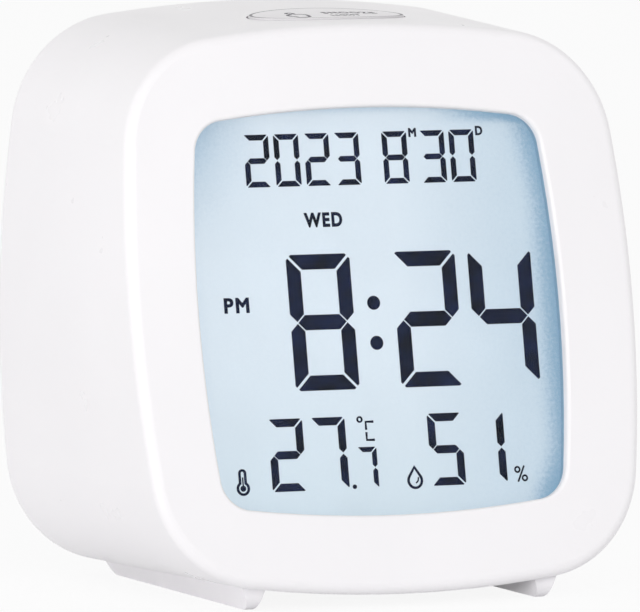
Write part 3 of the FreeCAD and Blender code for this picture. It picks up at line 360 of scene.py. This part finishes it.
def printedInk(name, look):
    material, tree = newMaterial(name)
    where = addNode(tree, "TexCoord")
    here = addNode(tree, "Mapping", {"Vector": where.outputs["Object"], "Scale": toMm})
    cloud = addNode(tree, "TexNoise", {"Vector": here, "Scale": 1 / look["cloudSize"], "Detail": 3.0})
    clear, thick = look["cloudSpan"]
    tint = addNode(tree, "ValToRGB", {"Fac": cloud}, [
        (clear, linear(look["colour"])), (thick, linear(look["cloud"])),
    ])
    smooth, rough = look["roughness"]
    gloss = addNode(tree, "MapRange", {"Value": cloud, "To Min": smooth, "To Max": rough})
    grain = addNode(tree, "TexNoise", {"Vector": here, "Scale": 1 / look["grainSize"], "Detail": 2.0})
    skin = addNode(tree, "Bump", {"Height": grain, "Distance": look["grain"] * mm, "Strength": 1.0})
    shader = addNode(tree, "BsdfPrincipled", {
        "Base Color": tint, "Roughness": gloss, "Normal": skin, "Specular IOR Level": 0.1,
    })
    addNode(tree, "OutputMaterial", {"Surface": shader})
    return material


for name, look in inks.items():
    finishes[name] = printedInk(name, {**inking, **look})


# Clear acrylic: a polished window with barely a ripple, whose coating against glare takes most of
# the reflection away, so its index is lower than bare acrylic's, and a slightly hazy light guide
# a size like 100 / 7 mm is a length over the patterns that it holds
polish = {"filmSize": 100 / 16, "waveSize": 100 / 7, "filmFrom": 0.4}
clears = {
    "coatedAcrylicWindow": {"tint": "FCFEFF", "roughness": (0.0, 0.015), "ripple": 0.002, "ior": 1.14},
    "hazyAcrylicGuide": {"tint": "F0F7FC", "roughness": (0.08, 0.2), "ripple": 0.01, "ior": 1.49},
}


def clearAcrylic(name, look):
    material, tree = newMaterial(name)
    where = addNode(tree, "TexCoord")
    here = addNode(tree, "Mapping", {"Vector": where.outputs["Object"], "Scale": toMm})
    film = addNode(tree, "TexNoise", {"Vector": here, "Scale": 1 / look["filmSize"], "Detail": 3.0})
    smooth, rough = look["roughness"]
    gloss = addNode(tree, "MapRange", {
        "Value": film, "From Min": look["filmFrom"], "To Min": smooth, "To Max": rough,
    })
    wave = addNode(tree, "TexNoise", {"Vector": here, "Scale": 1 / look["waveSize"], "Detail": 1.0})
    skin = addNode(tree, "Bump", {"Height": wave, "Distance": look["ripple"] * mm, "Strength": 1.0})
    shader = addNode(tree, "BsdfPrincipled", {
        "Base Color": linear(look["tint"]), "Roughness": gloss, "Normal": skin,
        "Transmission Weight": 1.0, "IOR": look["ior"],
    })
    addNode(tree, "OutputMaterial", {"Surface": shader})
    return material


for name, look in clears.items():
    finishes[name] = clearAcrylic(name, {**polish, **look})


# Circuit boards: green mask over copper tracks, with tinned pads that stand clear of it
laminate = {
    "mask": "1F5A38", "track": "2E7F4F", "pad": "C9CBC6",
    "trackEdge": (0.3, 0.34),  # where a track ends, as a share of the pitch
    "bendSize": 100 / 11, "bend": 6,  # mm, and how many pitches the tracks swerve
    "padSpacing": 10 / 3, "padEdge": (0.2, 0.17), "relief": 0.035,  # mm, share of the spacing, mm
    "roughness": (0.24, 0.42),
}
boards = {
    "leaningGreenBoard": {"turn": (facePitch, 0, 0), "pitch": 1.9},
    "uprightGreenBoard": {"turn": (math.radians(90), 0, 0), "pitch": 2.3},
    "levelGreenBoard": {"turn": (0, 0, 0), "pitch": 1.6},
}


def circuitBoard(name, look):
    material, tree = newMaterial(name)
    where = addNode(tree, "TexCoord")
    here = addNode(tree, "Mapping", {
        "Vector": where.outputs["Object"], "Rotation": look["turn"], "Scale": (mm, mm, mm),
    }, vector_type="TEXTURE")
    bend = addNode(tree, "TexNoise", {"Vector": here, "Scale": 1 / look["bendSize"], "Detail": 1.0})
    split = addNode(tree, "SeparateXYZ", {"Vector": here})
    pitch = look["pitch"]
    swerve = addNode(tree, "Math", {
        0: bend, 1: look["bend"] * pitch, 2: split.outputs["X"],
    }, operation="MULTIPLY_ADD")
    comb = addNode(tree, "Math", {0: swerve, 1: pitch / 2}, operation="PINGPONG")
    start, end = look["trackEdge"]
    track = addNode(tree, "MapRange", {"Value": comb, "From Min": start * pitch, "From Max": end * pitch})
    spot = addNode(tree, "TexVoronoi", {"Vector": here, "Scale": 1 / look["padSpacing"], "Randomness": 0.6})
    start, end = look["padEdge"]
    pad = addNode(tree, "MapRange", {"Value": spot.outputs["Distance"], "From Min": start, "From Max": end})
    mask = addNode(tree, "Mix", {
        "Factor": track, "A": linear(look["mask"]), "B": linear(look["track"]),
    }, data_type="RGBA")
    colour = addNode(tree, "Mix", {"Factor": pad, "A": mask, "B": linear(look["pad"])}, data_type="RGBA")
    height = addNode(tree, "Math", {0: track, 1: pad}, operation="MAXIMUM")
    skin = addNode(tree, "Bump", {"Height": height, "Distance": look["relief"] * mm, "Strength": 1.0})
    smooth, rough = look["roughness"]
    gloss = addNode(tree, "MapRange", {"Value": bend, "To Min": smooth, "To Max": rough})
    shader = addNode(tree, "BsdfPrincipled", {
        "Base Color": colour, "Metallic": pad, "Roughness": gloss, "Normal": skin, "IOR": 1.5,
    })
    addNode(tree, "OutputMaterial", {"Surface": shader})
    return material


for name, look in boards.items():
    finishes[name] = circuitBoard(name, {**laminate, **look})


# Bare metals: fine drawing marks along one direction and a slow dulling of the plate
drawing = {
    "markSize": 5 / 6, "plateSize": 5 / 3, "relief": 0.004,  # mm
    "markSpan": (0.25, 0.75),
}
metals = {
    # bright zinc plate: slightly blue, and a little dull
    "zincPlatedScrew": {
        "colour": "CBCDD0", "dull": "A6A8AC", "stretch": (6, 1, 6), "roughness": (0.2, 0.45),
    },
    # deep drawn steel: a clear gleam with fine lines along the can
    "drawnSteelCan": {
        "colour": "D4D5D7", "dull": "B4B5B8", "stretch": (1, 8, 8), "roughness": (0.16, 0.4),
    },
    # nickel on spring steel: warmer and the brightest of the three
    "nickelPlatedContact": {
        "colour": "DDD9D0", "dull": "B8B2A6", "stretch": (8, 1, 1), "roughness": (0.1, 0.34),
    },
}


def drawnMetal(name, look):
    material, tree = newMaterial(name)
    where = addNode(tree, "TexCoord")
    here = addNode(tree, "Mapping", {"Vector": where.outputs["Object"], "Scale": toMm})
    along = addNode(tree, "Mapping", {"Vector": here, "Scale": look["stretch"]})
    marks = addNode(tree, "TexNoise", {
        "Vector": along, "Scale": 1 / look["markSize"], "Detail": 4.0, "Roughness": 0.65,
    })
    plate = addNode(tree, "TexNoise", {"Vector": here, "Scale": 1 / look["plateSize"], "Detail": 3.0})
    tint = addNode(tree, "Mix", {
        "Factor": plate, "A": linear(look["colour"]), "B": linear(look["dull"]),
    }, data_type="RGBA")
    smooth, rough = look["roughness"]
    calm, strong = look["markSpan"]
    gloss = addNode(tree, "MapRange", {
        "Value": marks, "From Min": calm, "From Max": strong, "To Min": smooth, "To Max": rough,
    })
    skin = addNode(tree, "Bump", {"Height": marks, "Distance": look["relief"] * mm, "Strength": 1.0})
    shader = addNode(tree, "BsdfPrincipled", {
        "Base Color": tint, "Metallic": 1.0, "Roughness": gloss, "Normal": skin,
    })
    addNode(tree, "OutputMaterial", {"Surface": shader})
    return material


for name, look in metals.items():
    finishes[name] = drawnMetal(name, {**drawing, **look})


# Striped parts: contact rubber in thin layers, a flat cable's wires, a capacitor's marked sleeve
wear = {
    "stripeEdge": (0.22, 0.28),  # where a stripe ends, as a share of the pitch
    "soilSize": 10 / 7, "soilFrom": 0.4, "soilDepth": 0.3,  # the first in mm
}
stripes = {
    # silicone rubber with carbon layers: dull pink and black
    "layeredContactRubber": {
        "colour": "BD8E92", "stripe": "2B2626", "soil": "6F5254",
        "pitch": 0.6, "relief": 0.01, "roughness": (0.5, 0.7),
    },
    # vinyl over a row of wires: soft grey ribs
    "greyFlatCable": {
        "colour": "BBBCBF", "stripe": "94969A", "soil": "7E8084",
        "pitch": 1.27, "relief": 0.12, "roughness": (0.36, 0.52),
    },
    # shrunk sleeve with a pale mark along one side: smooth and half gloss
    "shrunkCapacitorSleeve": {
        "colour": "20242E", "stripe": "B9BDC6", "soil": "171A22",
        "pitch": 8.8, "relief": 0.0, "roughness": (0.24, 0.4),
    },
}


def stripedSleeve(name, look):
    material, tree = newMaterial(name)
    where = addNode(tree, "TexCoord")
    here = addNode(tree, "Mapping", {"Vector": where.outputs["Object"], "Scale": toMm})
    split = addNode(tree, "SeparateXYZ", {"Vector": here})
    comb = addNode(tree, "Math", {0: split.outputs["X"], 1: look["pitch"] / 2}, operation="PINGPONG")
    start, end = look["stripeEdge"]
    stripe = addNode(tree, "MapRange", {
        "Value": comb, "From Min": start * look["pitch"], "From Max": end * look["pitch"],
    })
    soil = addNode(tree, "TexNoise", {"Vector": here, "Scale": 1 / look["soilSize"], "Detail": 4.0})
    worn = addNode(tree, "MapRange", {
        "Value": soil, "From Min": look["soilFrom"], "To Max": look["soilDepth"],
    })
    base = addNode(tree, "Mix", {
        "Factor": stripe, "A": linear(look["colour"]), "B": linear(look["stripe"]),
    }, data_type="RGBA")
    tint = addNode(tree, "Mix", {"Factor": worn, "A": base, "B": linear(look["soil"])}, data_type="RGBA")
    smooth, rough = look["roughness"]
    gloss = addNode(tree, "MapRange", {"Value": soil, "To Min": smooth, "To Max": rough})
    skin = addNode(tree, "Bump", {"Height": stripe, "Distance": look["relief"] * mm, "Strength": 1.0})
    shader = addNode(tree, "BsdfPrincipled", {
        "Base Color": tint, "Roughness": gloss, "Normal": skin, "IOR": 1.5,
    })
    addNode(tree, "OutputMaterial", {"Surface": shader})
    return material


for name, look in stripes.items():
    finishes[name] = stripedSleeve(name, {**wear, **look})


# The cells: a dark shrunk film with one gold ring, and bare ends; the two lie head to tail
cells = {
    "film": "2B3A52", "ring": "C6A24C", "bare": "CDCED0",
    "ringFrom": 12.0, "ringTo": 16.0, "filmEnd": 21.6, "span": 30,  # mm from the cell's middle
    "scuffSize": 10 / 7, "relief": 0.01,  # mm
    "roughness": (0.18, 0.42), "metallic": 0.4,
}


def cellFilm(name, look):
    material, tree = newMaterial(name)
    where = addNode(tree, "TexCoord")
    here = addNode(tree, "Mapping", {"Vector": where.outputs["Object"], "Scale": toMm})
    split = addNode(tree, "SeparateXYZ", {"Vector": here})
    low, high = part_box("battery_cells")
    between = (low.z + high.z) / 2 / mm  # the height between the two cells
    upper = addNode(tree, "Math", {0: split.outputs["Z"], 1: between}, operation="GREATER_THAN")
    sign = addNode(tree, "Math", {0: upper, 1: 2.0, 2: -1.0}, operation="MULTIPLY_ADD")
    along = addNode(tree, "Math", {0: split.outputs["X"], 1: sign}, operation="MULTIPLY")
    span = look["span"]
    share = addNode(tree, "MapRange", {"Value": along, "From Min": -span, "From Max": span})
    changes = (-look["filmEnd"], look["ringFrom"], look["ringTo"], look["filmEnd"])
    places = [0.0] + [(x + span) / (2 * span) for x in changes]
    shades = [linear(look[key]) for key in ("bare", "film", "ring", "film", "bare")]
    tint = addNode(tree, "ValToRGB", {"Fac": share}, list(zip(places, shades)))
    tint.color_ramp.interpolation = "CONSTANT"
    scuff = addNode(tree, "TexNoise", {
        "Vector": here, "Scale": 1 / look["scuffSize"], "Detail": 5.0, "Roughness": 0.7,
    })
    smooth, rough = look["roughness"]
    gloss = addNode(tree, "MapRange", {"Value": scuff, "To Min": smooth, "To Max": rough})
    skin = addNode(tree, "Bump", {"Height": scuff, "Distance": look["relief"] * mm, "Strength": 1.0})
    shader = addNode(tree, "BsdfPrincipled", {
        "Base Color": tint, "Metallic": look["metallic"], "Roughness": gloss, "Normal": skin,
    })
    addNode(tree, "OutputMaterial", {"Surface": shader})
    return material


finishes["shrunkCellFilm"] = cellFilm("shrunkCellFilm", cells)
print("stage: finishes made")


# Which finish each CAD node takes
dressed = {
    "glossyWhiteAbs": ["front_shell"],
    "sparkTexturedWhiteAbs": ["rear_cover", "battery_door"],
    "satinSnoozeButton": ["snooze_button"],
    "satinWhiteButton": ["mode_key", "set_key", "up_key", "down_key"],
    "satinWhiteRail": ["left_foot_rail", "right_foot_rail"],
    "coatedAcrylicWindow": ["window_lens"],
    "backlitBlueFrame": ["lcd_frame"],
    "litLiquidCrystal": ["lcd_glass"],
    "liquidCrystalInk": ["lcd_segments"],
    "hazyAcrylicGuide": ["light_guide"],
    "whiteReflectorFilm": ["reflector_sheet"],
    "whiteLampSilicone": ["backlight_leds"],
    "layeredContactRubber": ["zebra_strip"],
    "leaningGreenBoard": ["main_pcb", "backlight_strip"],
    "uprightGreenBoard": ["key_board"],
    "levelGreenBoard": ["snooze_board"],
    "pouredBlackEpoxy": ["chip_blob"],
    "drawnSteelCan": ["crystal"],
    "shrunkCapacitorSleeve": ["capacitor"],
    "zincPlatedScrew": ["pcb_screws", "snooze_board_screws", "key_board_screws", "cover_screws"],
    "blackSwitchNylon": ["snooze_switch", "key_switches"],
    "blackAcetalPlunger": ["snooze_plunger", "mode_plunger", "set_plunger", "up_plunger", "down_plunger"],
    "blackBuzzerCase": ["buzzer"],
    "sensorPackageEpoxy": ["climate_sensor"],
    "shrunkCellFilm": ["battery_cells"],
    "nickelPlatedContact": ["battery_plates", "battery_springs"],
    "greyFlatCable": ["board_ribbon"],
    "redLeadVinyl": ["battery_leads", "snooze_leads"],
}
for finish, names in dressed.items():
    for name in names:
        slots = nodes[name].data.materials
        slots.clear()
        slots.append(finishes[finish])
left = set(nodes) - {name for names in dressed.values() for name in names}
print("stage: nodes dressed, still bare:", sorted(left))


# Thin flat shapes for words and signs
lettering = {"depth": 0.1, "curveSteps": 5, "space": 1.22}  # bold strokes need wider gaps
lining = {"curveSteps": 6, "roundness": 1}


def meshOf(curve):
    # the curve as a mesh, before its place is applied
    maker = bpy.data.objects.new(curve.name, curve)
    scene.collection.objects.link(maker)
    bpy.context.view_layer.update()
    seen = maker.evaluated_get(bpy.context.evaluated_depsgraph_get())
    mesh = bpy.data.meshes.new_from_object(seen)
    bpy.data.objects.remove(maker)
    bpy.data.curves.remove(curve)
    return mesh


def wordShape(text, height, width, weight):
    # its lower left corner at the origin, in mm
    curve = bpy.data.curves.new("word", "FONT")
    curve.body = text
    curve.extrude = lettering["depth"]
    curve.bevel_depth = weight / height  # makes the strokes bolder
    curve.bevel_resolution = 0
    curve.resolution_u = lettering["curveSteps"]
    curve.space_character = lettering["space"]
    mesh = meshOf(curve)
    across = [vert.co.x for vert in mesh.vertices]
    up = [vert.co.y for vert in mesh.vertices]
    size = Matrix.Diagonal((width / (max(across) - min(across)), height / (max(up) - min(up)), 1, 1))
    mesh.transform(size @ Matrix.Translation((-min(across), -min(up), 0)))
    return mesh


def lineShape(points, width, closed=False, smooth=False):
    curve = bpy.data.curves.new("line", "CURVE")
    curve.dimensions = "3D"
    curve.bevel_depth = width / 2
    curve.bevel_resolution = lining["roundness"]
    curve.resolution_u = lining["curveSteps"]
    curve.use_fill_caps = True
    spline = curve.splines.new("BEZIER")
    spline.bezier_points.add(len(points) - 1)
    spline.use_cyclic_u = closed
    for point, (x, y) in zip(spline.bezier_points, points):
        point.co = (x, y, 0)
        point.handle_left_type = point.handle_right_type = "AUTO" if smooth else "VECTOR"
    return meshOf(curve)


def ringShape(x, y, radius, width):
    return lineShape([(x + radius, y), (x, y + radius), (x - radius, y), (x, y - radius)], width, True, True)


weldGap = 0.0005  # mm


def printedPlate(shapes, thickness):
    # shapes are (mesh, right, up) in mm; they come out as one thin plate on height 0
    work = bmesh.new()
    for shape, right, up in shapes:
        depths = [vert.co.z for vert in shape.vertices]
        squash = Matrix.Diagonal((1, 1, thickness / (max(depths) - min(depths)), 1))
        toBase = Matrix.Translation((0, 0, -min(depths)))
        shape.transform(Matrix.Translation((right, up, 0)) @ squash @ toBase)
        work.from_mesh(shape)
        bpy.data.meshes.remove(shape)
    bmesh.ops.remove_doubles(work, verts=work.verts, dist=weldGap)
    bmesh.ops.recalc_face_normals(work, faces=work.faces)
    return work


def pressOn(work, node, place, lift):
    # lays a plate, drawn flat in mm about a place in front of a node, on to that node's surface
    mesh = nodes[node].data
    corners = [vert.co / mm for vert in mesh.vertices]
    surface = BVHTree.FromPolygons(corners, [side.vertices for side in mesh.polygons])
    out = place.to_3x3() @ Vector((0, 0, 1))
    for vert in work.verts:
        start = place @ Vector((vert.co.x, vert.co.y, 0))
        vert.co = surface.ray_cast(start, -out)[0] + out * (lift + vert.co.z)


def newPiece(name, work, finish, body):
    mesh = bpy.data.meshes.new(name)
    work.to_mesh(mesh)
    work.free()
    mesh.transform(Matrix.Scale(mm, 4))
    mesh.materials.append(finishes[finish])
    piece = bpy.data.objects.new(name, mesh)
    scene.collection.objects.link(piece)
    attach(piece, body)
    return piece


printStart = 5  # mm in front of a surface, where a print is drawn before it is laid on


# Words and small signs of the display, in mm from the face's middle
displaySigns = {
    "words": {
        # right, up, height, width, weight
        "WED": (-10.1, 12.33, 2.05, 5.85, 0.085),
        "PM": (-23.34, 0.76, 2.14, 3.82, 0.075),
        "M": (7.02, 24.55, 1.25, 1.17, 0.045),
        "D": (17.4, 24.55, 1.3, 1.1, 0.05),
    },
    "unit": {"left": -3.13, "right": -1.94, "low": -17.39, "high": -14.87, "line": 0.36, "gap": 0.16},
    "percent": {"left": 19.22, "right": 21.28, "low": -23.99, "high": -21.79, "line": 0.27, "ring": 0.36},
    "thread": [(-22.58, -23.3), (-22.58, -21.9)],
    "gleam": [(4.32, -22.8), (4.22, -23.3), (3.9, -23.62)],
    "fine": 0.22,
}
shapes = [
    (wordShape(text, height, width, weight), right, up)
    for text, (right, up, height, width, weight) in displaySigns["words"].items()
]
unit = displaySigns["unit"]
middle = (unit["low"] + unit["high"]) / 2
strokes = [
    [(unit["right"], unit["high"]), (unit["left"], unit["high"]), (unit["left"], middle + unit["gap"])],
    [(unit["left"], middle - unit["gap"]), (unit["left"], unit["low"]), (unit["right"], unit["low"])],
]
shapes += [(lineShape(stroke, unit["line"]), 0, 0) for stroke in strokes]
percent = displaySigns["percent"]
reach = percent["ring"] + percent["line"] / 2
slash = [(percent["left"] + reach, percent["low"]), (percent["right"] - reach, percent["high"])]
shapes.append((lineShape(slash, percent["line"]), 0, 0))
rings = [
    (percent["left"] + reach, percent["high"] - reach),
    (percent["right"] - reach, percent["low"] + reach),
]
shapes += [(ringShape(x, y, percent["ring"], percent["line"]), 0, 0) for x, y in rings]
shapes.append((lineShape(displaySigns["thread"], displaySigns["fine"]), 0, 0))
shapes.append((lineShape(displaySigns["gleam"], displaySigns["fine"], smooth=True), 0, 0))
work = printedPlate(shapes, face["inkBack"] - face["inkFront"])
lean = math.radians(face["lean"])
back = Vector((0, math.cos(lean), -math.sin(lean))) * face["inkBack"]
flat = Matrix.Translation(Vector(face["middle"]) + back) @ Matrix.Rotation(facePitch, 4, "X")
bmesh.ops.transform(work, matrix=flat, verts=work.verts)
newPiece("display_words", work, "liquidCrystalInk", "clock")
print("stage: display signs made")


# The print on the snooze button: a pressing hand in outline, and its words
buttonPrint = {
    "hand": [
        (-5.5, 1.1), (-5.95, 0.6), (-5.95, -0.9), (-6.6, -1.3), (-6.75, -2.2), (-6.25, -3.4), (-6.1, -4.1),
        (-4.6, -4.1), (-4.2, -3.0), (-4.05, -1.6), (-4.45, -1.1), (-5.1, -0.8), (-5.1, 0.6),
    ],
    "line": 0.44,
    "words": {
        # right, up, height, width, weight
        "SNOOZE": (-0.8, -1.2, 1.8, 8.2, 0.05),
        "LIGHT": (-0.8, -4.0, 1.3, 4.4, 0.04),
    },
    "thickness": 0.02, "lift": 0.004,
}
low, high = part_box("snooze_button")
above = (low + high) / 2 / mm
above.z = high.z / mm + printStart
shapes = [(lineShape(buttonPrint["hand"], buttonPrint["line"], True, True), 0, 0)]
shapes += [
    (wordShape(text, height, width, weight), right, up)
    for text, (right, up, height, width, weight) in buttonPrint["words"].items()
]
work = printedPlate(shapes, buttonPrint["thickness"])
pressOn(work, "snooze_button", Matrix.Translation(above), buttonPrint["lift"])
newPiece("snooze_button_print", work, "greyPadPrint", "snooze")


# The print on the rear cover: a plain word or arrow over each key
rearPrint = {
    "rise": 1.5, "height": 1.5, "weight": 0.02, "line": 0.28,
    "words": {"mode_key": ("MODE", 5.4), "set_key": ("SET", 3.8)},  # and their widths
    "arrows": {"up_key": 1, "down_key": -1},
    "thickness": 0.02, "lift": 0.004,
}
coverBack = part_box("rear_cover")[1].y / mm
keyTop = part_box("mode_key")[1].z / mm
behind = Vector((0, coverBack + printStart, keyTop + rearPrint["rise"]))
facingBack = Matrix.Translation(behind) @ Matrix.Rotation(math.pi, 4, "Z")
facingBack = facingBack @ Matrix.Rotation(math.pi / 2, 4, "X")
shapes = []
for name, (text, width) in rearPrint["words"].items():
    low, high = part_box(name)
    word = wordShape(text, rearPrint["height"], width, rearPrint["weight"])
    shapes.append((word, -(low.x + high.x) / 2 / mm - width / 2, 0))
for name, tip in rearPrint["arrows"].items():
    low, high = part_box(name)
    x = -(low.x + high.x) / 2 / mm
    half = rearPrint["height"] / 2
    arrow = [(x - half, half - half * tip), (x + half, half - half * tip), (x, half + half * tip)]
    shapes.append((lineShape(arrow, rearPrint["line"], True), 0, 0))
work = printedPlate(shapes, rearPrint["thickness"])
pressOn(work, "rear_cover", facingBack, rearPrint["lift"])
newPiece("rear_key_print", work, "darkPadPrint", "clock")
print("stage: prints made")


# Studio: a pale floor, a white backdrop, and soft lamps round the front
studio = {
    "floorSize": 3.0,  # m
    "paper": "F4F4F5",
    "whiteShare": 0.9,  # how far the seen floor is plain white, the rest keeps the shadow
    "roomLight": 0.65,
    "lampAim": (0, 0, 0.04),  # m
    "lamps": {
        # place and width in m, power in W
        "frontSoftbox": ((-0.35, -1.1, 0.55), 0.9, 3.2),
        "lowLeftSoftbox": ((-0.95, -0.5, 0.09), 0.16, 3.1),
        "rightSoftbox": ((0.9, -0.6, 0.5), 0.8, 0.85),
    },
}
work = bmesh.new()
bmesh.ops.create_grid(work, x_segments=1, y_segments=1, size=studio["floorSize"] / 2)
paper = bpy.data.meshes.new("studio_floor")
work.to_mesh(paper)
work.free()
floor = bpy.data.objects.new("studio_floor", paper)
scene.collection.objects.link(floor)


def seenDirectly(tree):
    # 1 for what the camera sees and what metal and glass reflect or let through, 0 for plain light
    rays = addNode(tree, "LightPath")
    gleam = addNode(tree, "Math", {
        0: rays.outputs["Is Camera Ray"], 1: rays.outputs["Is Glossy Ray"],
    }, operation="MAXIMUM")
    return addNode(tree, "Math", {0: gleam, 1: rays.outputs["Is Transmission Ray"]}, operation="MAXIMUM")


material, tree = newMaterial("studioPaper")
seen = seenDirectly(tree)
share = addNode(tree, "Math", {0: seen, 1: studio["whiteShare"]}, operation="MULTIPLY")
sheet = addNode(tree, "BsdfDiffuse", {"Color": linear(studio["paper"])})
white = addNode(tree, "Emission", {"Color": (1, 1, 1, 1), "Strength": 1.0})
both = addNode(tree, "MixShader", {0: share, 1: sheet, 2: white})
addNode(tree, "OutputMaterial", {"Surface": both})
paper.materials.append(material)

world = bpy.data.worlds.new("studioRoom")
scene.world = world
world.use_nodes = True
tree = world.node_tree
tree.nodes.clear()
seen = seenDirectly(tree)
level = addNode(tree, "MapRange", {"Value": seen, "To Min": studio["roomLight"], "To Max": 1.0})
sky = addNode(tree, "Background", {"Color": (1, 1, 1, 1), "Strength": level})
addNode(tree, "OutputWorld", {"Surface": sky})

for name, (place, width, power) in studio["lamps"].items():
    lamp = bpy.data.lights.new(name, "AREA")
    lamp.shape = "DISK"
    lamp.size = width
    lamp.energy = power
    holder = bpy.data.objects.new(name, lamp)
    holder.location = place
    holder.rotation_euler = (Vector(studio["lampAim"]) - Vector(place)).to_track_quat("-Z", "Y").to_euler()
    scene.collection.objects.link(holder)

# The camera stands far off to the left of the front, a little above the face's middle
camera = {
    "yaw": 26.2108, "pitch": 5.7869, "roll": 0.9661,  # degrees
    "lens": 698.165, "sensor": 36.0,  # mm
    "aim": (9.568, -0.683, 1712.0),  # mm to the face's middle: right, up, ahead
    "clip": (0.05, 10.0),  # m
}
yaw, pitch, roll = (math.radians(camera[key]) for key in ("yaw", "pitch", "roll"))
ahead = Vector((math.sin(yaw) * math.cos(pitch), math.cos(yaw) * math.cos(pitch), -math.sin(pitch)))
level = Vector((math.cos(yaw), -math.sin(yaw), 0))
upright = level.cross(ahead)
right = math.cos(roll) * level + math.sin(roll) * upright
up = math.cos(roll) * upright - math.sin(roll) * level
aimRight, aimUp, aimAhead = camera["aim"]
eye = Vector(face["middle"]) - aimRight * right - aimUp * up - aimAhead * ahead
lens = bpy.data.cameras.new("photoCamera")
lens.lens = camera["lens"]
lens.sensor_fit = "HORIZONTAL"
lens.sensor_width = camera["sensor"]
lens.clip_start, lens.clip_end = camera["clip"]
viewer = bpy.data.objects.new("photoCamera", lens)
viewer.matrix_world = Matrix.Translation(eye * mm) @ Matrix((right, up, -ahead)).transposed().to_4x4()
scene.collection.objects.link(viewer)
scene.camera = viewer
scene.view_settings.view_transform = "Standard"
print("stage: studio and camera set")
